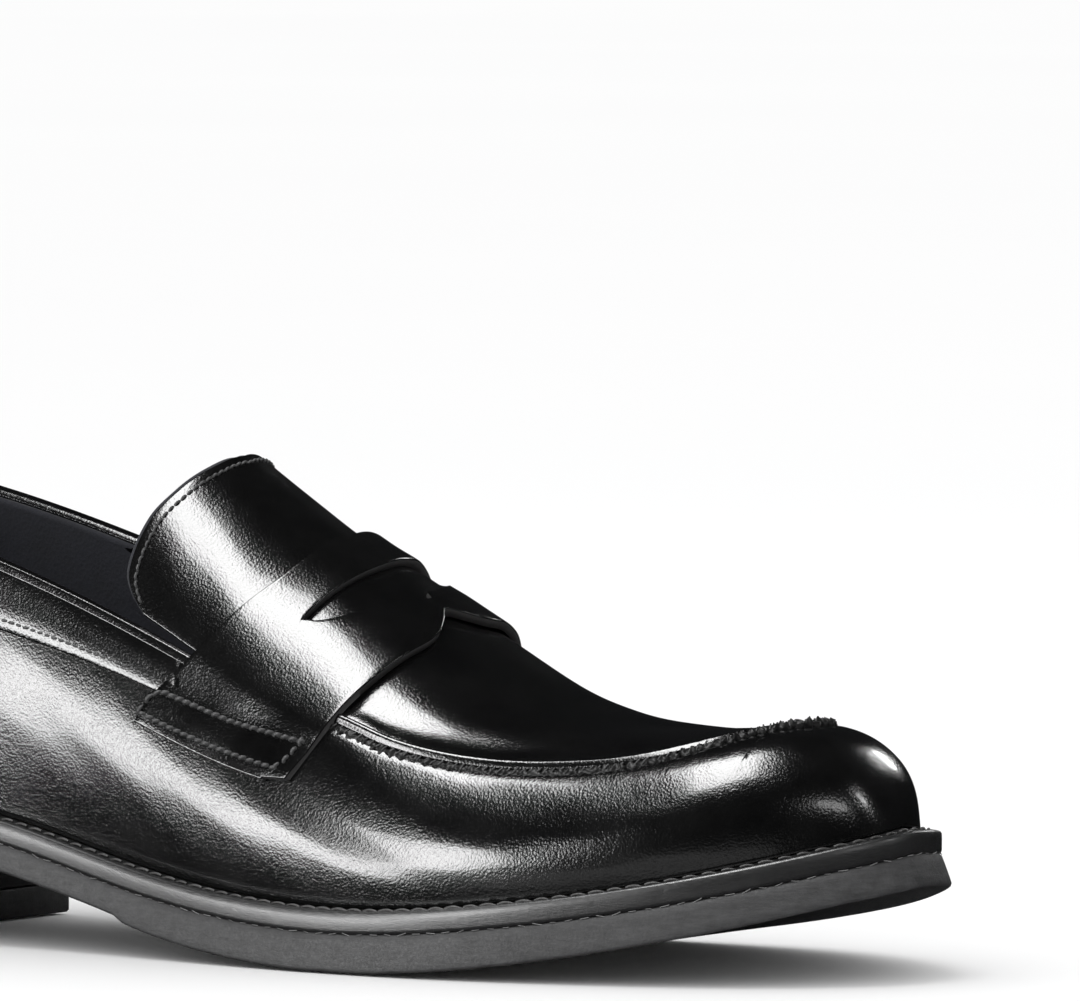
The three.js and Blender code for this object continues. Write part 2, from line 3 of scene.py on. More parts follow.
import bmesh
import bpy
import numpy as np
from mathutils import Matrix, Vector


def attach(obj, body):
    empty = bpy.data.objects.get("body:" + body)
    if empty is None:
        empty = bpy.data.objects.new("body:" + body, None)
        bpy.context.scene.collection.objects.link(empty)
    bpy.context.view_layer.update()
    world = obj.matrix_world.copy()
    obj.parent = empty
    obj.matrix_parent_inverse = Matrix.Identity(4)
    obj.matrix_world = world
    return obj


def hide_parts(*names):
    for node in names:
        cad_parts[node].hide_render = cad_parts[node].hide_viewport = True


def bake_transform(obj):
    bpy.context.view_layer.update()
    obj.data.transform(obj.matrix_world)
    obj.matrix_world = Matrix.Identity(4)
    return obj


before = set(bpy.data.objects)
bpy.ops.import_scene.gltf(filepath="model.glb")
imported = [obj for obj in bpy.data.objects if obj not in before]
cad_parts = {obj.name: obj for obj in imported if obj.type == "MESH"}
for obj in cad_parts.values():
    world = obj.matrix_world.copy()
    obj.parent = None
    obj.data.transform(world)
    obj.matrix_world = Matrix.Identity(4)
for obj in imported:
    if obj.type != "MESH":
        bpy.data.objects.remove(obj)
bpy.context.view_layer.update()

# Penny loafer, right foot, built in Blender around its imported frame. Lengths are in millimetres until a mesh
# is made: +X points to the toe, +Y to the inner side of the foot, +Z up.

MM = 0.001

# ----------------------------------------------------------------------------------------------------
# The last: rows of control points from the heel to the toe, as [x, outer y, inner y, z] of the feather edge,
# [x, y, z] of the crown, and for the outer and inner side [bulge, side height, shoulder spread, shoulder
# height].
# ----------------------------------------------------------------------------------------------------
SOLE_LENGTH = 276.0
LAST = [
    [[4, 0, 0, 30.5], [4, 0, 30.5], [0, 0, 1, 0], [0, 0, 1, 0]],
    [[4, 13, 13, 30.5], [3, 0, 49], [1, 0.4, 0.8, 0.8], [1, 0.4, 0.8, 0.8]],
    [[13, 26.5, 26.5, 30.4], [27, 0, 75], [2, 0.4, 0.8, 0.8], [2, 0.4, 0.8, 0.8]],
    [[35, 30.5, 30.5, 30], [25, 0, 107], [2, 0.4, 0.8, 0.8], [2, 0.4, 0.8, 0.8]],
    [[62, 29, 27, 28.8], [42, 0, 129.5], [3, 0.4, 0.8, 0.8], [2, 0.4, 0.85, 0.75]],
    [[92, 30, 23.5, 24.7], [84, 0, 125], [4, 0.35, 0.75, 0.75], [4, 0.4, 0.8, 0.74]],
    [[122, 34.5, 25.5, 17], [117, 0, 106], [4, 0.32, 0.7, 0.8], [5, 0.4, 0.68, 0.83]],
    [[150, 40.5, 33, 12.8], [143, 0.5, 82.5], [3.5, 0.3, 0.66, 0.84], [4, 0.4, 0.56, 0.91]],
    [[178, 43.5, 42.2, 11.4], [173, 1, 64.5], [3, 0.32, 0.64, 0.86], [2, 0.4, 0.46, 0.97]],
    [[204, 42, 42.9, 13.6], [195, 1.5, 48], [2.5, 0.36, 0.64, 0.91], [1.5, 0.42, 0.45, 1]],
    [[228, 36, 42, 17], [227, 2.5, 43.5], [2, 0.4, 0.68, 0.98], [1.5, 0.45, 0.56, 1]],
    [[249, 28, 33, 21.2], [249, 3.5, 47.5], [1.5, 0.45, 0.7, 0.98], [1.5, 0.5, 0.68, 0.95]],
    [[264, 16, 19, 25.3], [263.5, 3.5, 44.8], [1, 0.45, 0.72, 0.95], [1, 0.5, 0.72, 0.85]],
    [[271.5, 7.5, 10, 27.6], [269, 3, 37.5], [0.5, 0.45, 0.85, 0.9], [0.5, 0.5, 0.85, 0.9]],
    [[272, -2, 2, 28.6], [272, 2, 28.6], [0, 0, 1, 0], [0, 0, 1, 0]],
]
ROWS = len(LAST) - 1      # t runs from 0 at the heel to ROWS at the toe
AROUND = 6                # v runs from 0, the outer feather edge, over the crown at 3, to the inner edge
CROWN = 3.0

UPPER = 1.2
LINING = {"gap": 0.15, "deep": 1.75, "thick": 0.7}
OVERLAY = {"lift": 0.05, "thick": 0.95}
STRAP = {"lift": 0.35, "thick": 1.9}
HEEL_LENGTH = 62.0
TOP_PIECE = 6.0
FRONT_OF_OPENING = 6.5
APRON_TIP = 11.1


def mm_from_heel(x):
    return x + SOLE_LENGTH / 2


def topline(x):
    d = mm_from_heel(x) - 12
    return 90 - 0.1418 * d - 0.001075 * d * d


def through(*points):
    """A smooth curve through [parameter, value] points, flat beyond them."""
    ps, values = np.array(points, float).T
    slopes = np.empty(len(ps))
    slopes[1:-1] = (values[2:] - values[:-2]) / (ps[2:] - ps[:-2])
    slopes[0] = (values[1] - values[0]) / (ps[1] - ps[0])
    slopes[-1] = (values[-1] - values[-2]) / (ps[-1] - ps[-2])

    def curve(p):
        p = np.clip(np.asarray(p, float), ps[0], ps[-1])
        i = np.clip(np.searchsorted(ps, p, side="right") - 1, 0, len(ps) - 2)
        h = ps[i + 1] - ps[i]
        u = (p - ps[i]) / h
        return ((1 + 2 * u) * (1 - u) ** 2 * values[i] + u * (1 - u) ** 2 * h * slopes[i]
                + u * u * (3 - 2 * u) * values[i + 1] + u * u * (u - 1) * h * slopes[i + 1])
    return curve


STRAP_REAR = through([0.9, 6.11], [1.19, 6.31], [1.49, 6.6], [1.82, 6.85], [2.27, 7.08], [3, 7.16])
STRAP_FRONT = through([0.9, 7.46], [1.34, 7.72], [1.61, 7.85], [1.97, 8], [2.4, 8.1], [2.62, 8.1],
                      [2.82, 8.03], [3, 7.93])
TONGUE_EDGE = through([1.5, 6.14], [1.56, 6.02], [1.66, 5.96], [1.98, 6.03], [2.27, 6.15],
                      [2.63, 6.26], [3, 6.31])
APRON_SIDE = through([6.5, 1.46], [7.78, 1.59], [8.34, 1.6], [9.15, 1.71], [9.83, 1.83],
                     [10.3, 1.88], [11.4, 1.9])
COUNTER_EDGE = through([29, 56], [45, 52], [54, 44], [60, 28], [62, 8], [64, -40])


def apron_edge(t):
    along = np.clip((np.asarray(t, float) - 9.8) / (APRON_TIP - 9.8), 0, 1)
    return CROWN - (CROWN - APRON_SIDE(t)) * (1 - along ** 2.2) ** 0.55


def smooth(x, low, high):
    u = np.clip((x - low) / (high - low), 0, 1)
    return u * u * (3 - 2 * u)


# ----------------------------------------------------------------------------------------------------
# The last's surface: a uniform cubic B-spline over the control points
# ----------------------------------------------------------------------------------------------------
def control_net():
    rows = []
    for feather, crown, *sides in LAST:
        top = np.array([crown[0] - SOLE_LENGTH / 2, crown[1], crown[2]], float)
        halves = []
        for sign, y, (bulge, low, spread, high) in ((-1, feather[1], sides[0]), (1, feather[2], sides[1])):
            f = np.array([feather[0] - SOLE_LENGTH / 2, sign * y, feather[3]], float)
            a = f + low * (top - f)
            a[1] = f[1] + sign * bulge
            b = f + high * (top - f)
            b[1] = top[1] + spread * (f[1] - top[1])
            halves.append([2 * f - a, f, a, b])
        rows.append(halves[0] + [top] + halves[1][::-1])
    net = np.array(rows)
    return np.concatenate([[2 * net[0] - net[1]], net, [2 * net[-1] - net[-2]]])


NET = control_net()


def weights(u):
    return np.stack([(1 - u) ** 3 / 6, (3 * u ** 3 - 6 * u * u + 4) / 6,
                     (-3 * u ** 3 + 3 * u * u + 3 * u + 1) / 6, u ** 3 / 6], -1)


def slope_weights(u):
    return np.stack([-(1 - u) ** 2 / 2, (3 * u * u - 4 * u) / 2, (-3 * u * u + 2 * u + 1) / 2, u * u / 2], -1)


def blend_net(t, v, along_t, along_v):
    t, v = np.broadcast_arrays(np.asarray(t, float), np.asarray(v, float))
    i = np.clip(np.floor(t).astype(int), 0, ROWS - 1)
    j = np.clip(np.floor(v).astype(int), 0, AROUND - 1)
    wt, wv = along_t(t - i), along_v(v - j)
    total = np.zeros(t.shape + (3,))
    for a in range(4):
        for b in range(4):
            total += (wt[..., a] * wv[..., b])[..., None] * NET[i + a, j + b]
    return total


def on_last(t, v):
    return blend_net(t, v, weights, weights)


def unit(vectors):
    return vectors / np.maximum(np.linalg.norm(vectors, axis=-1, keepdims=True), 1e-12)


def outward(t, v):
    """Unit normals of the last, held along X at its two poles."""
    t, v = np.broadcast_arrays(np.asarray(t, float), np.asarray(v, float))
    normal = unit(np.cross(blend_net(t, v, slope_weights, weights), blend_net(t, v, weights, slope_weights)))
    pole = 1 - smooth(np.minimum(t, ROWS - t), 0.0, 0.08)
    ends = np.zeros(normal.shape)
    ends[..., 0] = np.where(t > ROWS / 2, 1.0, -1.0)
    return unit(normal * (1 - pole[..., None]) + ends * pole[..., None])


def at_depth(t, v, height):
    return on_last(t, v) + outward(t, v) * np.asarray(height, float)[..., None]


def crossing(t, side, height):
    """The w, counted from the feather edge of one side, at which each section meets a height over x."""
    t = np.asarray(t, float)
    low, high = np.zeros(t.shape), np.full(t.shape, CROWN)

    def is_above(w):
        p = on_last(t, w if side < 0 else AROUND - w)
        return p[..., 2] > height(p[..., 0])
    never = ~is_above(high)
    for _ in range(36):
        mid = (low + high) / 2
        above = is_above(mid)
        high, low = np.where(above, mid, high), np.where(above, low, mid)
    return np.where(never, CROWN, low)


# ----------------------------------------------------------------------------------------------------
# Meshes
# ----------------------------------------------------------------------------------------------------
def make_object(name, points, faces, material, face_finish=None, others=()):
    """A smooth-shaded object from points in millimetres. Equal points are merged and empty faces dropped."""
    points = np.asarray(points, float).reshape(-1, 3)
    keys = np.round(points * 2000).astype(np.int64)
    _, first, index = np.unique(keys, axis=0, return_index=True, return_inverse=True)
    index = index.reshape(-1)
    faces_out, finish_out = [], []
    for k, face in enumerate(faces):
        ring = []
        for corner in face:
            c = int(index[corner])
            if c not in ring:
                ring.append(c)
        if len(ring) > 2:
            faces_out.append(ring)
            finish_out.append(0 if face_finish is None else face_finish[k])
    mesh = bpy.data.meshes.new(name)
    mesh.from_pydata((points[first] * MM).tolist(), [], faces_out)
    mesh.validate()
    for m in (material, *others):
        mesh.materials.append(m)
    if face_finish is not None and len(mesh.polygons) == len(finish_out):
        mesh.polygons.foreach_set("material_index", finish_out)
    mesh.polygons.foreach_set("use_smooth", [True] * len(mesh.polygons))
    piece = bpy.data.objects.new(name, mesh)
    bpy.context.collection.objects.link(piece)
    return piece


def grid_faces(rows, columns, start=0, closed=False):
    """Quads of a grid of points; closed joins the last column to the first."""
    faces = []
    for i in range(rows - 1):
        for j in range(columns if closed else columns - 1):
            k = (j + 1) % columns
            faces.append((start + i * columns + j, start + (i + 1) * columns + j,
                          start + (i + 1) * columns + k, start + i * columns + k))
    return faces


def shell(name, outer, inner, material, edge_material=None, skip=None, body="shoe", others=()):
    """A closed sheet between two grids of points. skip[i, j] leaves a cell out, and its rim is walled."""
    rows, columns = outer.shape[:2]
    count = rows * columns
    cells = [(i, j) for i in range(rows - 1) for j in range(columns - 1) if skip is None or not skip[i, j]]
    faces, edges = [], {}
    keys = np.round(outer.reshape(-1, 3) * 2000).astype(np.int64)
    _, index = np.unique(keys, axis=0, return_inverse=True)
    index = index.reshape(-1)
    for i, j in cells:
        a = i * columns + j
        face = (a, a + columns, a + columns + 1, a + 1)
        faces.append(face)
        for p, q in zip(face, face[1:] + face[:1]):
            if index[p] != index[q]:
                edges[(int(index[p]), int(index[q]))] = (p, q)
    skin = len(faces)
    walls = [(q, p, p + count, q + count) for key, (p, q) in edges.items() if key[::-1] not in edges]
    under = [(a + count, d + count, c + count, b + count) for a, b, c, d in faces]
    points = np.concatenate([outer.reshape(-1, 3), inner.reshape(-1, 3)])
    finish = [0] * skin + [1 if edge_material else 0] * len(walls) + [0] * len(under)
    extra = (edge_material,) if edge_material else ()
    piece = make_object(name, points, faces + walls + under, material, finish, extra + tuple(others))
    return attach(piece, body) if body else piece


def edge_steps(length, count, radius, start=True, end=True, turns=4):
    """Places from 0 to 1 along lines of given lengths, with steps that suit a quarter-round of that radius at
    either end, and how far up that round each one is."""
    angle = np.linspace(0, math.pi / 2, turns + 1)[:-1]
    reach, rise = radius * (1 - np.cos(angle)), np.sin(angle)
    length = np.asarray(length, float)[..., None]
    first = reach / length if start else np.zeros(length.shape[:-1] + (0,))
    last = 1 - reach[::-1] / length if end else np.zeros(length.shape[:-1] + (0,))
    low = radius / length if start else 0 * length
    high = 1 - radius / length if end else 0 * length + 1
    middle = low + (high - low) * np.linspace(0, 1, count)
    climb = np.concatenate([rise if start else [], np.ones(count), rise[::-1] if end else []])
    return np.concatenate([first, middle, last], -1), climb


def patch(place, counts, radius, top, bottom, rounds=(True, True, True, True)):
    """A leather patch with rounded edges. place(a, b) gives t and v; counts and rounds are for a, then b.
    Returns the outer and inner grids of points."""
    fine = np.linspace(0, 1, 41)
    a_start, a_end, b_start, b_end = rounds

    def lengths(points, axis):
        return np.linalg.norm(np.diff(points, axis=axis), axis=-1).sum(axis)
    aa, bb = np.meshgrid(fine, fine, indexing="ij")
    points = on_last(*place(aa, bb))
    length_a, length_b = lengths(points, 0), lengths(points, 1)
    b_mid, climb_b = edge_steps(np.mean(length_b), counts[1], radius, b_start, b_end)
    a_mid, climb_a = edge_steps(np.mean(length_a), counts[0], radius, a_start, a_end)
    a_steps, _ = edge_steps(np.interp(b_mid, fine, np.maximum(length_a, 2.2 * radius)), counts[0], radius,
                            a_start, a_end)
    b_steps, _ = edge_steps(np.interp(a_mid, fine, np.maximum(length_b, 2.2 * radius)), counts[1], radius,
                            b_start, b_end)
    t, v = place(a_steps.T, b_steps)
    climb = np.minimum(climb_a[:, None], climb_b[None, :])
    top = top(t, v) if callable(top) else np.full(t.shape, float(top))
    bottom = bottom(t, v) if callable(bottom) else np.full(t.shape, float(bottom))
    return at_depth(t, v, top - radius * (1 - climb)), at_depth(t, v, bottom), t, v


# ----------------------------------------------------------------------------------------------------
# Finishes
# ----------------------------------------------------------------------------------------------------
class Value:
    """A shader socket that takes part in Python sums."""

    def __init__(self, finish, socket):
        self.finish, self.socket = finish, socket

    def math(self, operation, *others):
        return self.finish.node("ShaderNodeMath", {"operation": operation}, dict(enumerate((self, *others))))

    def __add__(self, other):
        return self.math("ADD", other)
    __radd__ = __add__

    def __sub__(self, other):
        return self.math("SUBTRACT", other)

    def __rsub__(self, other):
        return self.finish.node("ShaderNodeMath", {"operation": "SUBTRACT"}, {0: other, 1: self})

    def __mul__(self, other):
        return self.math("MULTIPLY", other)
    __rmul__ = __mul__

    def __gt__(self, other):
        return self.math("GREATER_THAN", other)

    def __lt__(self, other):
        return self.math("LESS_THAN", other)

    def __pow__(self, other):
        return self.math("POWER", other)


class Finish:
    """A material and its Principled shader."""

    def __init__(self, name, **constants):
        self.material = bpy.data.materials.new(name)
        self.material.use_nodes = True
        self.tree = self.material.node_tree
        self.shader = self.tree.nodes["Principled BSDF"]
        self.where = self.node("ShaderNodeTexCoord", output="Object")
        for socket, value in constants.items():
            self.shader.inputs[socket.replace("_", " ")].default_value = value

    def node(self, kind, settings=None, inputs=None, output=0):
        made = self.tree.nodes.new(kind)
        for key, value in (settings or {}).items():
            if key == "stops":
                ramp = made.color_ramp
                while len(ramp.elements) < len(value):
                    ramp.elements.new(1.0)
                for stop, (place, colour) in zip(ramp.elements, value):
                    stop.position, stop.color = place, (*colour, 1.0)
            else:
                setattr(made, key, value)
        for key, value in (inputs or {}).items():
            if isinstance(value, Value):
                self.tree.links.new(value.socket, made.inputs[key])
            else:
                made.inputs[key].default_value = value
        return Value(self, made.outputs[output])

    def drive(self, socket, value):
        self.tree.links.new(value.socket, self.shader.inputs[socket])

    def noise(self, size, detail=2.0, roughness=0.5, where=None, output=0):
        """Noise whose features are about size millimetres across."""
        return self.node("ShaderNodeTexNoise", {}, {"Vector": where or self.where, "Scale": 1 / (size * MM),
                                                    "Detail": detail, "Roughness": roughness}, output)

    def cells(self, size, feature="F1", where=None, output="Distance"):
        return self.node("ShaderNodeTexVoronoi", {"feature": feature},
                         {"Vector": where or self.where, "Scale": 1 / (size * MM)}, output)

    def stretch(self, x, y, z):
        return self.node("ShaderNodeMapping", {}, {"Vector": self.where, "Scale": (x, y, z)})

    def map(self, value, from_low, from_high, to_low, to_high):
        return self.node("ShaderNodeMapRange", {}, {
            "Value": value, "From Min": from_low, "From Max": from_high, "To Min": to_low, "To Max": to_high})

    def mix(self, factor, a, b):
        """A blend of two colours."""
        made = self.node("ShaderNodeMix", {"data_type": "RGBA"}, {"Factor": factor}, "Result")
        node = made.socket.node
        for socket, value in zip([s for s in node.inputs if s.type == "RGBA"], (a, b)):
            if isinstance(value, Value):
                self.tree.links.new(value.socket, socket)
            else:
                socket.default_value = (*value, 1.0)
        return Value(self, next(s for s in node.outputs if s.type == "RGBA"))

    def bump(self, *layers):
        """Bumps stacked one on another: each layer is a height from 0 to 1 and its depth in millimetres."""
        normal = None
        for height, depth in layers:
            inputs = {"Height": height, "Distance": depth * MM, "Strength": 1.0}
            if normal:
                inputs["Normal"] = normal
            normal = self.node("ShaderNodeBump", {}, inputs)
        self.drive("Normal", normal)


def box_calf(name="black_box_calf", gloss=0.0, wax=0.3):
    """Polished black calf: a fine pebbled grain under wax, with cloudy changes of gloss."""
    f = Finish(name, Coat_Weight=wax, Coat_Roughness=0.1 + gloss, Coat_IOR=1.45, IOR=1.5,
               Specular_IOR_Level=wax + 0.1)
    grain = f.cells(0.5)
    fine = f.noise(0.4, 2.0, 0.6)
    cloud = f.noise(14.0, 4.0, 0.6)
    creases = f.noise(1.9, 4.0, 0.65, where=f.stretch(1.0, 0.55, 1.0))
    tone = f.map(cloud, 0.35, 0.7, 0.0, 1.0)
    f.drive("Base Color", f.mix(tone, (0.0022, 0.0022, 0.0023), (0.0048, 0.0048, 0.0048)))
    f.drive("Roughness", f.map(cloud * 0.4 + fine * 0.6, 0.35, 0.65, 0.14 + gloss, 0.2 + gloss))
    f.bump((grain, 0.026), (fine, 0.036), (creases, 0.025), (cloud, 0.1))
    return f.material


def cut_edge():
    """Raw cut leather, dyed dark: fibrous and matt."""
    f = Finish("cut_leather_edge", Specular_IOR_Level=0.3)
    fibre = f.noise(0.35, 4.0, 0.7, where=f.stretch(0.35, 1.0, 2.5))
    f.drive("Base Color", f.mix(fibre, (0.02, 0.02, 0.021), (0.06, 0.058, 0.058)))
    f.drive("Roughness", f.map(fibre, 0.3, 0.7, 0.55, 0.8))
    f.bump((fibre, 0.08))
    return f.material


def lining_leather(name, dark, light, nap):
    """Matt lining: pores and short nap in soft patches."""
    f = Finish(name, Sheen_Weight=0.25, Sheen_Roughness=0.5, Specular_IOR_Level=0.25)
    pores = f.cells(0.8)
    cloud = f.noise(11.0, 4.0, 0.6)
    hair = f.noise(0.4, 3.0, 0.7)
    f.drive("Base Color", f.mix(f.map(cloud * 0.65 + hair * 0.35, 0.35, 0.65, 0.0, 1.0), dark, light))
    f.drive("Roughness", f.map(hair, 0.3, 0.7, 0.72, 0.92))
    f.bump((pores, 0.05), (hair, nap), (cloud, 0.2))
    return f.material


def rubber(name="sole_rubber", dark=(0.022, 0.022, 0.023), light=(0.05, 0.05, 0.052)):
    """Moulded rubber: dry, faintly scuffed, with pale flecks."""
    f = Finish(name, Specular_IOR_Level=0.35)
    dust = f.noise(3.0, 5.0, 0.7)
    grit = f.noise(0.5, 3.0, 0.7)
    scuff = f.noise(1.2, 4.0, 0.7, where=f.stretch(0.25, 0.25, 1.6))
    fleck = f.map(f.cells(1.7), 0.0, 0.12, 1.0, 0.0)
    shade = f.mix(f.map(dust * 0.5 + scuff * 0.5, 0.35, 0.65, 0.0, 1.0), dark, light)
    f.drive("Base Color", f.mix(fleck * f.map(grit, 0.5, 0.7, 0.0, 0.5), shade, (0.16, 0.16, 0.16)))
    f.drive("Roughness", f.map(grit, 0.3, 0.7, 0.5, 0.72))
    f.bump((grit, 0.06), (scuff, 0.08))
    return f.material


def welt_leather():
    """Waxed welt leather: fibrous and finely grooved under a thin coat of wax."""
    f = Finish("waxed_welt", Coat_Weight=0.3, Coat_Roughness=0.25, Specular_IOR_Level=0.5)
    fibre = f.noise(0.6, 4.0, 0.7, where=f.stretch(0.4, 0.4, 2.0))
    cloud = f.noise(5.0, 3.0, 0.6)
    f.drive("Base Color", f.mix(cloud, (0.006, 0.006, 0.0065), (0.018, 0.018, 0.019)))
    f.drive("Roughness", f.map(fibre, 0.3, 0.7, 0.3, 0.5))
    f.bump((fibre, 0.07), (cloud, 0.1))
    return f.material


def stacked_heel():
    """Heel block of thin lifts: fine level lines, slightly uneven."""
    f = Finish("stacked_heel", Specular_IOR_Level=0.4, Coat_Weight=0.1, Coat_Roughness=0.4)
    height = f.node("ShaderNodeSeparateXYZ", {}, {"Vector": f.where}, "Z")
    wander = f.noise(9.0, 2.0, 0.5)
    lifts = (height * (2 * math.pi / (2.1 * MM)) + wander * 1.4).math("SINE")
    line = f.map(lifts, 0.86, 1.0, 0.0, 1.0)
    grit = f.noise(0.5, 4.0, 0.7, where=f.stretch(0.4, 0.4, 2.2))
    f.drive("Base Color", f.mix(line * 0.6 + grit * 0.4, (0.016, 0.016, 0.017), (0.042, 0.041, 0.041)))
    f.drive("Roughness", f.map(grit, 0.3, 0.7, 0.42, 0.62))
    f.bump((1 - line, 0.06), (grit, 0.05))
    return f.material


def thread(name, dark, light):
    """Waxed thread, twisted along its length."""
    f = Finish(name, Specular_IOR_Level=0.4)
    twist = f.noise(0.35, 3.0, 0.7)
    f.drive("Base Color", f.mix(twist, dark, light))
    f.drive("Roughness", f.map(twist, 0.3, 0.7, 0.4, 0.65))
    f.bump((twist, 0.08))
    return f.material


def plain_stock(name, dark, light, size, rough, depth, metallic=0.0):
    """Board, foam, cork or steel of the hidden pieces."""
    f = Finish(name, Metallic=metallic)
    grain = f.noise(size, 4.0, 0.65)
    speck = f.cells(size * 1.6)
    f.drive("Base Color", f.mix(f.map(grain * 0.6 + speck * 0.4, 0.3, 0.6, 0.0, 1.0), dark, light))
    f.drive("Roughness", f.map(grain, 0.3, 0.7, rough - 0.08, rough + 0.08))
    f.bump((grain, depth), (speck, depth))
    return f.material


def floor_finish():
    f = Finish("pale_floor", Specular_IOR_Level=0.0)
    cloud = f.noise(900.0, 1.0, 0.5)
    f.drive("Base Color", f.mix(cloud, (0.92, 0.92, 0.922), (0.94, 0.94, 0.94)))
    f.drive("Roughness", f.map(cloud, 0.3, 0.7, 0.18, 0.2))
    return f.material


CALF = box_calf()
EDGE = cut_edge()
NAVY = lining_leather("navy_lining", (0.007, 0.008, 0.014), (0.016, 0.018, 0.03), 0.04)
BLUE = lining_leather("blue_heel_lining", (0.05, 0.068, 0.13), (0.085, 0.11, 0.19), 0.07)
SOCK = lining_leather("sock_leather", (0.01, 0.011, 0.017), (0.02, 0.022, 0.032), 0.05)
RUBBER = rubber()
TREAD = rubber("tread_rubber", (0.018, 0.018, 0.019), (0.038, 0.038, 0.039))
WELT = welt_leather()
STACK = stacked_heel()
BLACK_THREAD = thread("black_thread", (0.008, 0.008, 0.0085), (0.085, 0.085, 0.086))
WELT_THREAD = thread("welt_thread", (0.012, 0.012, 0.013), (0.07, 0.068, 0.066))


# ----------------------------------------------------------------------------------------------------
# Lines and sweeps on the last
# ----------------------------------------------------------------------------------------------------
def per_t(t, v):
    return np.linalg.norm(blend_net(t, v, slope_weights, weights), axis=-1)


def per_v(t, v):
    return np.linalg.norm(blend_net(t, v, weights, slope_weights), axis=-1)


def evenly(points, spacing, closed=False, *also):
    """Points resampled at even spacing along their line, with any arrays that go along."""
    if closed:
        points = np.concatenate([points, points[:1]])
        also = [np.concatenate([a, a[:1]]) for a in also]
    reach = np.concatenate([[0], np.cumsum(np.linalg.norm(np.diff(points, axis=0), axis=1))])
    count = max(2, int(round(reach[-1] / spacing)) + 1)
    at = np.linspace(0, reach[-1], count)
    if closed:
        at = at[:-1]
    sampled = [np.stack([np.interp(at, reach, column) for column in a.T], -1) for a in (points, *also)]
    return sampled if also else sampled[0]


def along(points):
    return unit(np.gradient(points, axis=0))


def line_on_last(t, v, height, spacing):
    """An even line over the last, and its normals."""
    points, normals = evenly(at_depth(t, v, height + 0 * t), spacing, False, outward(t, v))
    return points, unit(normals)


def sweep(name, points, across, up, profile, material, closed=False, grow=None, ripple=None):
    """A rounded bar along a line. profile is a closed ring of (across, up); grow scales it along the line."""
    profile = np.asarray(profile, float)
    size = np.ones(len(points)) if grow is None else grow
    scaled = profile[None] * size[:, None, None]
    if ripple is not None:
        scaled = scaled + ripple
    rings = points[:, None] + across[:, None] * scaled[..., :1] + up[:, None] * scaled[..., 1:]
    count = len(profile)
    faces = grid_faces(len(points) + (1 if closed else 0), count, closed=True)
    if closed:
        faces = [tuple(k % (len(points) * count) for k in face) for face in faces]
    else:
        faces += [tuple(range(count)), tuple(range(len(rings) * count - 1, (len(rings) - 1) * count - 1, -1))]
    return make_solid(name, rings.reshape(-1, 3), faces, material)


def make_solid(name, points, faces, material, sharp=50):
    """A closed body whose faces are turned outwards."""
    piece = make_object(name, points, faces, material)
    body = bmesh.new()
    body.from_mesh(piece.data)
    bmesh.ops.recalc_face_normals(body, faces=body.faces)
    body.to_mesh(piece.data)
    body.free()
    piece.data.set_sharp_from_angle(angle=math.radians(sharp))
    return piece


def rounded(ring, radius, turns=3):
    """A ring of corners with each corner rounded."""
    ring = np.asarray(ring, float)
    out = []
    for k, corner in enumerate(ring):
        before, after = ring[k - 1] - corner, ring[(k + 1) % len(ring)] - corner
        r = min(radius, np.linalg.norm(before) * 0.45, np.linalg.norm(after) * 0.45)
        a, b = corner + unit(before) * r, corner + unit(after) * r
        for u in np.linspace(0, 1, turns + 1):
            out.append((1 - u) ** 2 * a + 2 * u * (1 - u) * corner + u * u * b)
    return np.array(out)


def lumps(*coordinates, seed=0):
    """Smooth unevenness from -1 to 1, made of a few waves."""
    rng = np.random.default_rng(seed)
    total = 0.0
    for k in range(5):
        phase = rng.uniform(0, 6.28)
        turn = sum(c * rng.uniform(0.6, 1.6) * (1 if rng.random() < 0.5 else -1) for c in coordinates)
        total = total + np.sin(turn * (1 + 0.37 * k) + phase)
    return total / 3.2


def back_start(share):
    """The t on the back seam that lies a share of the collar's depth below the topline."""
    share = np.asarray(share, float)
    low, high = np.full(share.shape, 1.0), np.full(share.shape, 3.6)
    for _ in range(36):
        mid = (low + high) / 2
        p = on_last(mid, CROWN)
        above = p[..., 2] > level(p[..., 0], share)
        high, low = np.where(above, mid, high), np.where(above, low, mid)
    return high


def level(x, share):
    return topline(x) - share * (19 - 0.09 * (mm_from_heel(x) - 12))


def level_w(t, share, side=-1):
    return crossing(t, side, lambda x: level(x, share))


def band_place(low, high, front, side):
    """Places on the back part between two levels: a from the back seam forwards, b from low to high."""
    def place(a, b):
        a, b = np.broadcast_arrays(a, b)
        share = low + (high - low) * b
        start = back_start(share)
        t = start + (front - start) * a ** 2
        w = level_w(t, share, side)
        return t, np.where(a < 1e-6, CROWN, w)
    if side < 0:
        return place

    def inner(a, b):
        t, w = place(a, 1 - b)
        return t, AROUND - w
    return inner


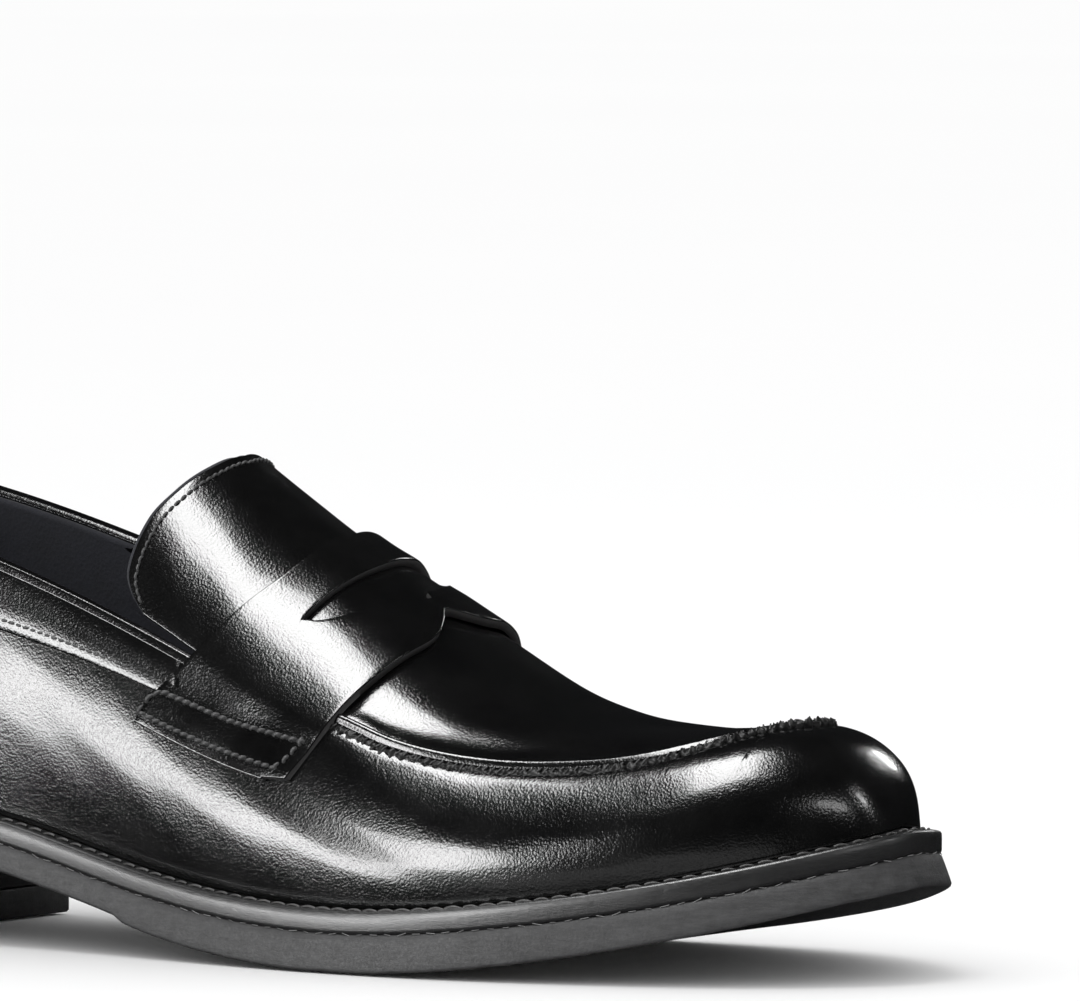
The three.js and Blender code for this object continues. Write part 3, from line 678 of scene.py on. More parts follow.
# ----------------------------------------------------------------------------------------------------
# Stitches, laid along lines by Geometry Nodes
# ----------------------------------------------------------------------------------------------------
class Recipe:
    """A Geometry Nodes tree with named inputs, and the short way to add nodes to it."""

    def __init__(self, name, **inputs):
        self.tree = bpy.data.node_groups.new(name, "GeometryNodeTree")
        sockets = self.tree.interface
        sockets.new_socket("Geometry", in_out="INPUT", socket_type="NodeSocketGeometry")
        for key, kind in inputs.items():
            sockets.new_socket(key.replace("_", " "), in_out="INPUT", socket_type="NodeSocket" + kind)
        sockets.new_socket("Geometry", in_out="OUTPUT", socket_type="NodeSocketGeometry")
        self.start = self.tree.nodes.new("NodeGroupInput")

    def input(self, name):
        return self.start.outputs[name]

    def node(self, kind, settings=None, inputs=None, output=0):
        made = self.tree.nodes.new(kind)
        for key, value in (settings or {}).items():
            setattr(made, key, value)
        for key, value in (inputs or {}).items():
            if isinstance(value, bpy.types.NodeSocket):
                self.tree.links.new(value, made.inputs[key])
            else:
                made.inputs[key].default_value = value
        return made.outputs[output]

    def finish(self, geometry):
        self.tree.links.new(geometry, self.tree.nodes.new("NodeGroupOutput").inputs[0])

    def apply(self, piece, **values):
        """Runs the tree on a piece and keeps the result as its plain mesh."""
        modifier = piece.modifiers.new("recipe", "NODES")
        modifier.node_group = self.tree
        for item in self.tree.interface.items_tree:
            key = item.name.replace(" ", "_")
            if item.in_out == "INPUT" and key in values:
                modifier[item.identifier] = values[key]
        piece.data.update()
        bpy.context.view_layer.update()
        evaluated = piece.evaluated_get(bpy.context.evaluated_depsgraph_get())
        mesh = bpy.data.meshes.new_from_object(evaluated)
        piece.modifiers.clear()
        piece.data = mesh
        return piece


def stitch_recipe():
    """Short arched lengths of thread along lines, lying on the normals stored as outward."""
    r = Recipe("stitch_row", Pitch="Float", Length="Float", Thickness="Float", Rise="Float", Turn="Float",
               Unevenness="Float", Thread="Material")
    line = r.node("GeometryNodeMeshToCurve", {}, {"Mesh": r.input("Geometry")})
    line = r.node("GeometryNodeResampleCurve", {"mode": "LENGTH"},
                  {"Curve": line, "Length": r.input("Pitch")})

    def times(value, factor):
        return r.node("ShaderNodeMath", {"operation": "MULTIPLY"}, {0: value, 1: factor})
    half = times(r.input("Length"), 0.5)
    back = times(half, -1.0)
    sunk = times(r.input("Thickness"), -0.6)
    peak = times(r.input("Rise"), 2.0)
    arch = r.node("GeometryNodeCurveQuadraticBezier", {}, {
        "Resolution": 6, "Start": r.node("ShaderNodeCombineXYZ", {}, {"X": back, "Z": sunk}),
        "Middle": r.node("ShaderNodeCombineXYZ", {}, {"Z": peak}),
        "End": r.node("ShaderNodeCombineXYZ", {}, {"X": half, "Z": sunk})})
    width = times(r.input("Thickness"), 0.5)
    round_thread = r.node("GeometryNodeCurvePrimitiveCircle", {}, {"Resolution": 6, "Radius": width})
    stitch = r.node("GeometryNodeCurveToMesh", {},
                    {"Curve": arch, "Profile Curve": round_thread, "Fill Caps": True})
    normal = r.node("GeometryNodeInputNamedAttribute", {"data_type": "FLOAT_VECTOR"}, {"Name": "outward"})
    turned = r.node("FunctionNodeAxesToRotation", {"primary_axis": "Z", "secondary_axis": "X"},
                    {"Primary Axis": normal, "Secondary Axis": r.node("GeometryNodeInputTangent")})
    away = times(r.input("Unevenness"), -1.0)
    wobble = r.node("FunctionNodeRandomValue", {"data_type": "FLOAT"},
                    {2: away, 3: r.input("Unevenness"), "Seed": 7}, 1)
    angle = r.node("ShaderNodeMath", {"operation": "ADD"}, {0: wobble, 1: r.input("Turn")})
    spin = r.node("FunctionNodeEulerToRotation", {},
                  {"Euler": r.node("ShaderNodeCombineXYZ", {}, {"Z": angle})})
    facing = r.node("FunctionNodeRotateRotation", {"rotation_space": "LOCAL"},
                    {"Rotation": turned, "Rotate By": spin})
    small = r.node("ShaderNodeMath", {"operation": "SUBTRACT"}, {0: 1.0, 1: r.input("Unevenness")})
    large = r.node("ShaderNodeMath", {"operation": "ADD"}, {0: 1.0, 1: r.input("Unevenness")})
    size = r.node("FunctionNodeRandomValue", {"data_type": "FLOAT"}, {2: small, 3: large, "Seed": 11}, 1)
    row = r.node("GeometryNodeInstanceOnPoints", {}, {"Points": line, "Instance": stitch, "Rotation": facing,
                                                      "Scale": size})
    row = r.node("GeometryNodeRealizeInstances", {}, {"Geometry": row})
    row = r.node("GeometryNodeSetShadeSmooth", {}, {"Geometry": row})
    r.finish(r.node("GeometryNodeSetMaterial", {}, {"Geometry": row, "Material": r.input("Thread")}))
    return r


STITCH_ROW = stitch_recipe()


def stitches(name, lines, pitch, length, thickness, rise, thread_finish, turn=0.0, uneven=0.05, body="shoe"):
    """A row of stitches on each line, where a line is its points and normals in millimetres."""
    points = np.concatenate([p for p, _ in lines])
    normals = np.concatenate([n for _, n in lines])
    edges, start = [], 0
    for p, _ in lines:
        edges += [(start + k, start + k + 1) for k in range(len(p) - 1)]
        start += len(p)
    mesh = bpy.data.meshes.new(name)
    mesh.from_pydata((points * MM).tolist(), edges, [])
    stored = mesh.attributes.new("outward", "FLOAT_VECTOR", "POINT")
    stored.data.foreach_set("vector", normals.ravel())
    piece = bpy.data.objects.new(name, mesh)
    bpy.context.collection.objects.link(piece)
    STITCH_ROW.apply(piece, Pitch=pitch * MM, Length=length * MM, Thickness=thickness * MM, Rise=rise * MM,
                     Turn=turn, Unevenness=uneven, Thread=thread_finish)
    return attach(piece, body) if body else piece


# ----------------------------------------------------------------------------------------------------
# Upper
# ----------------------------------------------------------------------------------------------------
APRON_REAR = 7.3
SEAM_STEP = 0.9            # spacing of the points along the apron's seam
GATHER_STEP = 0.34         # and along the gathered roll beside it
TONGUE_ROOT = 0.2          # how far the tongue runs on under the strap


def apron_seam_line():
    """The apron's edge from the outer side round the tip to the inner side, and its normals."""
    u = np.linspace(0, 1, 400)
    t = APRON_REAR + (APRON_TIP - 0.0002 - APRON_REAR) * (1 - (1 - u) ** 2.4)
    v = apron_edge(t)
    t = np.concatenate([t, [APRON_TIP], t[::-1]])
    v = np.concatenate([v, [CROWN], AROUND - v[::-1]])
    return evenly(on_last(t, v), SEAM_STEP, False, outward(t, v))


SEAM, SEAM_UP = apron_seam_line()
SEAM_UP = unit(SEAM_UP)
SEAM_OUT = unit(np.cross(along(SEAM), SEAM_UP))
if SEAM_OUT[0, 1] > 0:
    SEAM_OUT = -SEAM_OUT
TIP = np.exp(-((np.linspace(0, 1, len(SEAM)) - 0.5) / 0.1) ** 2)     # 1 round the apron's tip, 0 at its sides


def from_seam(points):
    """Distance to the apron's seam, and how far along it, for a grid of points."""
    flat = points.reshape(-1, 3)
    best = np.full(len(flat), 1e9)
    where = np.zeros(len(flat), int)
    for k in range(0, len(SEAM), 2):
        d = ((flat - SEAM[k]) ** 2).sum(1)
        closer = d < best
        best[closer], where[closer] = d[closer], k
    return np.sqrt(best).reshape(points.shape[:-1]), where.reshape(points.shape[:-1])


def wall_relief(t, v):
    """The wall swells below the seam and puckers where it is gathered."""
    distance, k = from_seam(on_last(t, v))
    forward = smooth(t, 7.0, 8.0)
    run = k * SEAM_STEP
    swell = 0.5 * smooth(distance, 0.5, 3.5) * (1 - smooth(distance, 4, 17))
    pucker = 0.06 * np.sin(run * 2 * math.pi / 3.3 + 1.1 * lumps(run / 9, seed=3)) * np.exp(-distance / 4)
    dent = -0.35 * np.exp(-((distance - 1.2) / 1.3) ** 2)
    waves = 0.07 * lumps(t * 2.1, v * 3.3, seed=9)
    waves = waves * smooth(np.minimum(v, AROUND - v), 0.05, 0.6) * (1 - smooth(t, 9, 12.2))
    return forward * (swell + pucker * (1 + 1.2 * TIP[k]) + dent) + waves


def wall():
    """One continuous wall from the heel round both sides of the toe, open over the foot and the apron."""
    n = 46
    back = back_start(np.array(0.0))
    ts = np.concatenate([np.linspace(0, 1.9, 22)[:-1], np.linspace(1.9, back - 0.01, 12)[:-1],
                         back + (3.3 - back) * np.linspace(0, 1, 24)[:-1] ** 2,
                         np.linspace(3.3, 10.2, 110)[:-1],
                         APRON_TIP - (APRON_TIP - 10.2) * (1 - np.linspace(0, 1, 40)) ** 2,
                         np.linspace(APRON_TIP, 14, 50)[1:]])
    near = smooth(ts, 5.9, FRONT_OF_OPENING)

    def top_edge(side):
        rim = level_w(ts, 0.04, side) * (1 - near) + APRON_SIDE(FRONT_OF_OPENING) * near
        return np.where(ts < FRONT_OF_OPENING, rim, apron_edge(ts))
    upper, inner = top_edge(-1), top_edge(1)
    share = np.linspace(0, 1, n)
    v = np.concatenate([upper[:, None] * share, AROUND - inner[:, None] * share[::-1]], 1)
    t = np.repeat(ts[:, None], 2 * n, 1)
    skip = np.zeros((len(ts) - 1, 2 * n - 1), bool)
    gap = (upper < CROWN - 1e-4) | (inner < CROWN - 1e-4)
    skip[:, n - 1] = gap[:-1] | gap[1:]
    relief = wall_relief(t, v)
    piece = shell("upper_wall", at_depth(t, v, relief), at_depth(t, v, relief * 0 - UPPER), CALF, EDGE, skip)
    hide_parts("vamp", "lateral_quarter", "medial_quarter")


def apron():
    """The plug over the forefoot: slightly dished, with its rim turned up against the seam."""
    n = 64
    u = np.linspace(0, 1, 110)
    ts = APRON_REAR + (APRON_TIP - 0.001 - APRON_REAR) * (1 - (1 - u) ** 1.8)
    edge = apron_edge(ts)
    share = (1 - np.cos(np.linspace(0, math.pi, n))) / 2
    v = edge[:, None] + (AROUND - 2 * edge[:, None]) * share
    t = np.repeat(ts[:, None], n, 1)
    distance, k = from_seam(on_last(t, v))
    run = k * SEAM_STEP
    rim = 0.75 * np.exp(-(distance / 2.2) ** 2) - 0.3 * np.exp(-((distance - 5) / 3.2) ** 2)
    pucker = 0.09 * np.sin(run * 2 * math.pi / 3.0) * np.exp(-distance / 3)
    ends = smooth(t, APRON_REAR, APRON_REAR + 0.5)
    relief = ends * (rim + pucker) + 0.12 * lumps(t * 2.4, v * 2.7, seed=4)
    piece = shell("apron", at_depth(t, v, relief), at_depth(t, v, relief - UPPER), CALF, EDGE)
    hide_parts("apron_plug")


def apron_seam():
    """The raised lip of the apron, and the gathered roll of leather and thread that holds the wall to it."""
    count = len(SEAM)
    lip = rounded([(-0.6, -0.9), (-0.55, 0.8), (-0.15, 1.3), (0.5, 1.35), (1.6, 0.65), (1.75, -0.9)], 0.35)
    side_fade = np.minimum(1, np.minimum(np.arange(count), np.arange(count)[::-1]) / 6 + 0.55)
    thinner = side_fade * (1 - 0.2 * TIP)
    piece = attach(sweep("apron_lip", SEAM, SEAM_OUT, SEAM_UP, lip, CALF, grow=thinner), "shoe")
    ring = np.linspace(0, 2 * math.pi, 12, endpoint=False)
    fine, out, up, tip = evenly(SEAM, GATHER_STEP, False, SEAM_OUT, SEAM_UP, TIP[:, None])
    out, up, tip = unit(out), unit(up), tip[:, 0]
    run = np.arange(len(fine)) * GATHER_STEP
    roll = np.stack([2.3 + 1.05 * np.cos(ring), -0.25 + 0.85 * np.sin(ring)], -1)[None]
    roll = roll + tip[:, None, None] * np.array([-0.5, 0.55])
    rough = (0.2 * np.sin(run[:, None] * 2 * math.pi / 1.9 + 1.6 * np.sin(ring)[None] + 3 * lumps(
        run / 2.3, seed=5)[:, None]) + 0.34 * lumps(run[:, None] * 1.7, 3 * np.cos(ring)[None], seed=8))
    swell = (1 + 0.75 * tip[:, None]) * rough
    shape = roll + swell[..., None] * np.stack([np.cos(ring), np.sin(ring)], -1)[None]
    shape[..., 1] += 0.35 * tip[:, None] * np.sin(ring)
    rings = fine[:, None] + out[:, None] * shape[..., :1] + up[:, None] * shape[..., 1:]
    faces = grid_faces(len(fine), 12, closed=True)
    faces += [tuple(range(12)), tuple(range(len(fine) * 12 - 1, (len(fine) - 1) * 12 - 1, -1))]
    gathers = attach(make_solid("apron_gathers", rings.reshape(-1, 3), faces, GATHERED, 80), "shoe")
    line = SEAM + SEAM_OUT * (2.3 - 0.4 * TIP[:, None]) + SEAM_UP * (0.5 + 0.9 * TIP[:, None])
    stitches("apron_seam_thread", [(line, unit(SEAM_UP + 0.7 * SEAM_OUT))], 1.5, 1.7, 0.34, 0.12,
             BLACK_THREAD, turn=0.9, uneven=0.18)


def strap_top(w):
    """Height of the strap's face: drawn in along the sewn box, with a groove under the box's upper row."""
    share = 0.82 - 0.24 * smooth(w, 1.08, 1.28) + 0.42 * smooth(w, 1.27, 1.5)
    return STRAP["lift"] + STRAP["thick"] * share


def strap():
    """The saddle strap: its crescent slot has a raised rear lip, and its ends are sewn down as boxes."""
    radius = 0.28
    columns = 150
    end_climb = np.sin(np.linspace(0, math.pi / 2, 6))
    end_steps = 0.0034 * (1 - np.cos(np.linspace(0, math.pi / 2, 6)))
    b = np.concatenate([end_steps[:-1], np.linspace(0.0034, 1 - 0.0034, columns), 1 - end_steps[:-1][::-1]])
    climb_b = np.concatenate([end_climb[:-1], np.ones(columns), end_climb[:-1][::-1]])

    def span(a):
        end = 0.95 + 0.12 * a
        return end + (AROUND - 2 * end) * b
    v0 = span(0.5)
    u = np.abs(v0 - CROWN) / 0.97
    inside = np.clip(1 - u, 0, 1)
    droop = np.minimum(u, 1.0) ** 2
    lip_rear = 7.46 - 0.13 * droop
    open_by = 0.3 * np.sqrt(np.clip(1 - u ** 2, 0, 1))
    notch = 0.05 * (np.abs(v0 - CROWN) < 0.05)
    lip_front = lip_rear + open_by + notch
    w = np.minimum(v0, AROUND - v0)
    rear, front = STRAP_REAR(w), STRAP_FRONT(w)
    unit_t = per_t(7.2, v0)

    def segment(start, end, round_start, round_end, count):
        length = np.maximum((end - start) * unit_t, 3 * radius)
        places, climb = edge_steps(length, count, radius, True, True)
        t = start[:, None] + (end - start)[:, None] * places
        half = len(climb) // 2
        rise = np.repeat(climb[None], len(start), 0)
        rise[:, :half] = 1 - (1 - rise[:, :half]) * round_start[:, None]
        rise[:, half:] = 1 - (1 - rise[:, half:]) * round_end[:, None]
        return t.T, rise.T
    whole = np.ones(len(b))
    in_slot = smooth(inside, 0.0, 0.04)
    t1, c1 = segment(rear, lip_rear, whole, in_slot, 26)
    t2, c2 = segment(lip_front, front, in_slot, whole, 18)
    t = np.concatenate([t1, t2])
    share = np.concatenate([np.linspace(0, 0.5, len(t1)), np.linspace(0.5, 1, len(t2))])
    v = np.stack([span(a) for a in share])
    climb = np.minimum(np.concatenate([c1, c2]), climb_b[None])
    skip = np.zeros((len(t) - 1, len(b) - 1), bool)
    skip[len(t1) - 1] = (open_by[:-1] > 1e-6) | (open_by[1:] > 1e-6)
    behind = np.clip((lip_rear[None] - t), 0, 9) * unit_t[None]
    ahead = np.clip((t - lip_front[None]), 0, 9) * unit_t[None]
    rear_part = (np.arange(len(t)) < len(t1))[:, None]
    lift = np.where(rear_part, 0.35 * np.exp(-(behind / 4.0) ** 2), -0.45 * np.exp(-(ahead / 3.5) ** 2))
    lift = lift * smooth(inside, 0.0, 0.5)[None]
    lift = lift + 0.1 * lumps(t * 3.1, v * 3.7, seed=12)
    w = np.minimum(v, AROUND - v)
    top = strap_top(w) + lift
    bottom = STRAP["lift"] * (0.15 + 0.85 * smooth(w, 1.3, 1.5)) + lift
    piece = shell("saddle_strap_finished", at_depth(t, v, top - radius * (1 - climb)), at_depth(t, v, bottom),
                  CALF, EDGE, skip)
    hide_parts("saddle_strap")
    # The leather seen through the slot
    a, c = np.meshgrid(np.linspace(0, 1, 22), np.linspace(1.95, AROUND - 1.95, 60), indexing="ij")
    t = 7.25 + 0.66 * a - 0.1 * ((c - CROWN) / 1.0) ** 2
    arch = 0.9 * np.sin(math.pi * np.clip(a, 0, 1)) + 0.15 * lumps(t * 4, c * 4, seed=2)
    under = shell("slot_backing", at_depth(t, c, 0.35 + 0.6 * arch * smooth(np.abs(c - CROWN), 1.05, 0.6)),
                  at_depth(t, c, 0 * t + 0.05), CALF)


def strap_stitches():
    lines = []
    for side in (-1, 1):
        def edge_line(points):
            t, w = np.array(points, float).T
            fine = np.linspace(0, len(t) - 1, 60)
            t, w = np.interp(fine, np.arange(len(t)), t), np.interp(fine, np.arange(len(w)), w)
            v = w if side < 0 else AROUND - w
            return line_on_last(t, v, strap_top(w) + 0.04, 0.5)
        corners = [(6.31, 1.13), (6.4, 1.2), (6.72, 1.235), (7.02, 1.26), (7.33, 1.3), (7.6, 1.33)]
        front = [(7.6, 1.33), (7.52, 1.2), (7.44, 1.12)]
        bottom = [(7.42, 1.105), (7.1, 1.085), (6.75, 1.06), (6.4, 1.035), (6.26, 1.03)]
        rear = [(6.24, 1.04), (6.3, 1.12)]
        lines += [edge_line(row) for row in (corners, front, bottom, rear)]
    stitches("strap_box_stitches", lines, 1.85, 1.6, 0.85, 0.6, BLACK_THREAD, turn=0.25, uneven=0.09)


def tongue():
    """The tongue runs on under the strap."""
    def place(inset):
        def inner(a, b):
            v = 1.5 + 3.0 * b
            w = np.minimum(v, AROUND - v)
            rear = TONGUE_EDGE(w) - inset / 26
            root = STRAP_REAR(w) + TONGUE_ROOT
            return rear + (root - rear) * a, v
        return inner

    def top(t, v):
        return 0.05 * lumps(t * 4, v * 3, seed=21)
    outer, inner, _, _ = patch(place(0.0), (46, 90), 0.4, top, -UPPER, (True, False, True, True))
    flap = shell("tongue_leather", outer, inner, CALF, EDGE, body=None)
    outer, inner, _, _ = patch(place(1.0), (40, 80), 0.25, -UPPER - 0.12, -UPPER - 0.95,
                               (True, False, True, True))
    back = shell("tongue_lining_leather", outer, inner, NAVY, EDGE, body=None)
    w = np.concatenate([np.linspace(1.56, 3, 80), np.linspace(3, 1.56, 80)[1:]])
    v = np.concatenate([w[:80], AROUND - w[80:]])
    t = TONGUE_EDGE(w) + 2.2 / per_t(TONGUE_EDGE(w), v)
    row = stitches("tongue_stitches", [line_on_last(t, v, 0.1, 0.6)], 1.7, 1.4, 0.6, 0.4, BLACK_THREAD,
                   uneven=0.07, body=None)
    for piece, node, finish in ((flap, "tongue", "black_leather"), (back, "tongue_lining", "navy_lining"),
                                (row, None, "black_leather")):
        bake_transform(piece)
        if node:
            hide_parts(node)


def collar():
    """Padded collar bands, sewn over the quarters."""
    top, bottom = OVERLAY["lift"] + OVERLAY["thick"], 0.0
    lines = []
    for name, side in (("lateral", -1), ("medial", 1)):
        place = band_place(1.0, 0.05, 6.55, side)

        def puffed(t, v, side=side):
            w = v if side < 0 else AROUND - v
            low, high = level_w(t, np.ones(np.shape(t)), side), level_w(t, np.zeros(np.shape(t)), side)
            share = np.clip((w - low) / np.maximum(high - low, 1e-3), 0, 1)
            return top + 0.55 * np.sin(math.pi * share) ** 0.8
        outer, inner, _, _ = patch(place, (120, 16), 0.35, puffed, bottom, (False, False, side < 0, side > 0))
        band = shell(f"{name}_collar", outer, inner, CALF, EDGE)
        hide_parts(f"{name}_collar_band")
        a = np.linspace(0.25, 0.985, 200)
        start = back_start(np.full(a.shape, 0.82))
        t = start + (6.5 - start) * a ** 2
        share = 1 - 2.1 / (19 - 0.09 * (mm_from_heel(on_last(t, 1.2)[:, 0]) - 12))
        w = level_w(t, share, side)
        lines.append(line_on_last(t, w if side < 0 else AROUND - w, top + 0.22, 0.6))
    stitches("collar_stitches", lines, 1.8, 1.5, 0.6, 0.42, BLACK_THREAD, turn=0.12, uneven=0.08)


def counter_reach(v):
    """How far forwards along each line of constant v the counter patch runs."""
    low, high = np.full(v.shape, 0.3), np.full(v.shape, 6.0)
    for _ in range(34):
        mid = (low + high) / 2
        p = on_last(mid, v)
        past = (p[..., 2] > level(p[..., 0], 1.0) - 0.8) | (mm_from_heel(p[..., 0]) > COUNTER_EDGE(p[..., 2]))
        high, low = np.where(past, mid, high), np.where(past, low, mid)
    return low


def counter():
    def place(a, b):
        v = AROUND * b
        return 0.02 + (counter_reach(v) - 0.02) * a, v
    outer, inner, _, _ = patch(place, (60, 120), 0.35, OVERLAY["lift"] + OVERLAY["thick"], 0.0,
                               (False, True, False, False))
    patch_piece = shell("heel_counter_patch", outer, inner, CALF, EDGE)
    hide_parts("counter_patch")
    v = np.linspace(0.35, AROUND - 0.35, 400)
    reach = counter_reach(v)
    t = reach - 2.1 / per_t(reach, v)
    lines = [line_on_last(t, v, OVERLAY["lift"] + OVERLAY["thick"] + 0.12, 0.6)]
    top = float(back_start(np.array(0.02)))
    ts = np.linspace(float(back_start(np.array(1.0))) - 0.12, top, 40)
    half = 3.3 / per_v(ts, CROWN - 0.05)

    def strip_place(a, b):
        t = ts[0] + (ts[-1] - ts[0]) * a
        wide = np.interp(t, ts, half)
        return t, CROWN - wide + 2 * wide * b
    outer, inner, _, _ = patch(strip_place, (36, 14), 0.35, OVERLAY["lift"] + 2 * OVERLAY["thick"], 0.6,
                               (True, False, True, True))
    strip = shell("heel_back_strip", outer, inner, CALF, EDGE)
    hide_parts("back_strip")
    for sign in (-1, 1):
        rows = ts[2:-2]
        v = CROWN + sign * (np.interp(rows, ts, half) * 0.62)
        lines.append(line_on_last(rows, v, OVERLAY["lift"] + 2 * OVERLAY["thick"] + 0.1, 0.6))
    stitches("counter_stitches", lines, 1.8, 1.5, 0.6, 0.42, BLACK_THREAD, turn=0.12, uneven=0.08)


def topline_roll():
    """The folded rim of the foot opening, from strap to strap round the heel."""
    start = float(back_start(np.array(0.0)))
    a = np.linspace(0, 1, 160)
    t = start + (6.66 - start) * a ** 2
    halves = []
    for side in (-1, 1):
        w = np.where(a < 1e-6, CROWN, level_w(t, np.zeros(t.shape), side))
        v = w if side < 0 else AROUND - w
        halves.append((on_last(t, v), outward(t, v)))
    points = np.concatenate([halves[0][0][::-1], halves[1][0][1:]])
    normals = np.concatenate([halves[0][1][::-1], halves[1][1][1:]])
    points, normals = evenly(points, 1.1, False, normals)
    normals = unit(normals)
    up = unit(np.cross(along(points), normals))
    up = np.where(up[:, 2:] < 0, -up, up)
    profile = rounded([(-2.6, -2.2), (-2.55, 0.5), (-1.6, 1.15), (0.2, 1.15), (1.25, 0.5), (1.3, -1.3),
                       (0.0, -1.4), (-0.2, 0.0), (-1.6, 0.0), (-1.8, -2.2)], 0.35)
    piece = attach(sweep("topline_fold", points, normals, up, profile, CALF), "shoe")
    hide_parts("topline_binding")


def lining_top(t, v):
    toe = smooth(t, 10.2, 10.8)
    heel = (1 - smooth(t, 3.05, 3.6)) * (1 - smooth(on_last(t, v)[..., 2], 71, 78))
    return -UPPER - 0.5 - 1.9 * (toe + heel)


def linings():
    """Blue lining in the heel, dark lining ahead of it and in the forefoot."""
    joint = 3.6
    n = 30
    for name, finish, t_from, t_to, nodes, slot_name in (
            ("heel_lining_leather", BLUE, 0.0, joint, ("heel_lining",), "blue_lining"),
            ("quarter_lining_leather", NAVY, joint - 0.03, FRONT_OF_OPENING + 0.5,
             ("lateral_quarter_lining", "medial_quarter_lining"), "navy_lining")):
        back = float(back_start(np.array(0.0)))
        if t_from == 0.0:
            ts = np.concatenate([np.linspace(0.35, back - 0.01, 24)[:-1],
                                 back + (t_to - back) * np.linspace(0, 1, 40) ** 2])
        else:
            ts = np.linspace(t_from, t_to, 40)
        tops = [np.where(ts < FRONT_OF_OPENING, level_w(ts, 0.0, side), APRON_SIDE(ts)) for side in (-1, 1)]
        share = np.linspace(0, 1, n)
        v = np.concatenate([0.12 + (tops[0][:, None] - 0.12) * share,
                            AROUND - (0.12 + (tops[1][:, None] - 0.12) * share[::-1])], 1)
        t = np.repeat(ts[:, None], 2 * n, 1)
        gap = (tops[0] < CROWN - 1e-4) | (tops[1] < CROWN - 1e-4)
        skip = np.zeros((len(ts) - 1, 2 * n - 1), bool)
        skip[:, n - 1] = gap[:-1] | gap[1:]
        over = 0.0 if t_from == 0.0 else 0.25
        top = lining_top(t, v) - over + 0.1 * lumps(t * 3, v * 5, seed=31)
        piece = shell(name, at_depth(t, v, top), at_depth(t, v, top - LINING["thick"]), finish, EDGE, skip)
        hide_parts(*nodes)
    v = np.linspace(0.15, AROUND - 0.15, 70)
    ts = np.concatenate([np.linspace(6.9, 13.0, 70), [13.15]])
    t, v = np.meshgrid(ts, v, indexing="ij")
    skip = (t[:-1, :-1] < 7.35) & (np.abs(v[:-1, :-1] - CROWN) < 1.45)
    top = lining_top(t, v)
    piece = shell("vamp_lining_leather", at_depth(t, v, top), at_depth(t, v, top - LINING["thick"]), NAVY,
                  EDGE, skip)
    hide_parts("vamp_lining")


# ----------------------------------------------------------------------------------------------------
# Bottom
# ----------------------------------------------------------------------------------------------------
HALF_STEPS = 130


def length_of(points):
    return np.linalg.norm(np.diff(points, axis=0), axis=1).sum()


def feather_half(side):
    t = (1 - np.cos(np.linspace(0, math.pi, 600))) / 2 * ROWS
    line = on_last(t, np.full(t.shape, 0.0 if side < 0 else float(AROUND)))
    length = np.linalg.norm(np.diff(line[:, :2], axis=0), axis=1).sum()
    return evenly(line, length / HALF_STEPS)[:HALF_STEPS + 1]


def sole_loop():
    """The feather edge as one ring: the outer side from heel to toe, then the inner side back."""
    outer, inner = feather_half(-1), feather_half(1)
    n = min(len(outer), len(inner)) - 1
    outer, inner = evenly(outer, 1e-9 + length_of(outer) / n), evenly(inner, length_of(inner) / n)
    return np.concatenate([outer[:n + 1], inner[1:n][::-1]]), n


SOLE, SOLE_HALF = sole_loop()


def ring_at(distance):
    """The sole's ring moved out in plan."""
    forward = np.roll(SOLE, -1, 0) - np.roll(SOLE, 1, 0)
    out = unit(np.stack([forward[:, 1], -forward[:, 0]], -1))
    moved = SOLE.copy()
    distance = np.broadcast_to(np.asarray(distance, float), len(SOLE))
    moved[:, :2] += out * distance[:, None]
    return moved


def strip_caps(count, half, start, flip):
    """Quads straight across a ring, from one side to the other."""
    faces = []
    for k in range(half):
        a, b = k, k + 1
        c, d = (count - k - 1) % count, (count - k) % count
        face = tuple(start + i for i in (a, b, c, d))
        faces.append(face[::-1] if flip else face)
    return faces


def sole_layer(name, rings, material):
    """A layer from rings over the whole sole, the first and last closed straight across."""
    count = len(SOLE)
    faces = grid_faces(len(rings), count, closed=True)
    faces += strip_caps(count, SOLE_HALF, 0, False)
    faces += strip_caps(count, SOLE_HALF, (len(rings) - 1) * count, True)
    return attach(make_solid(name, np.concatenate(rings), faces, material), "shoe")


sole_thickness = through([0, 5.2], [100, 5.2], [121, 5.35], [123.5, 6.3], [150, 7], [200, 7], [240, 6.35],
                         [SOLE_LENGTH, 5.7])


def with_z(points, z):
    out = points.copy()
    out[:, 2] = z
    return out


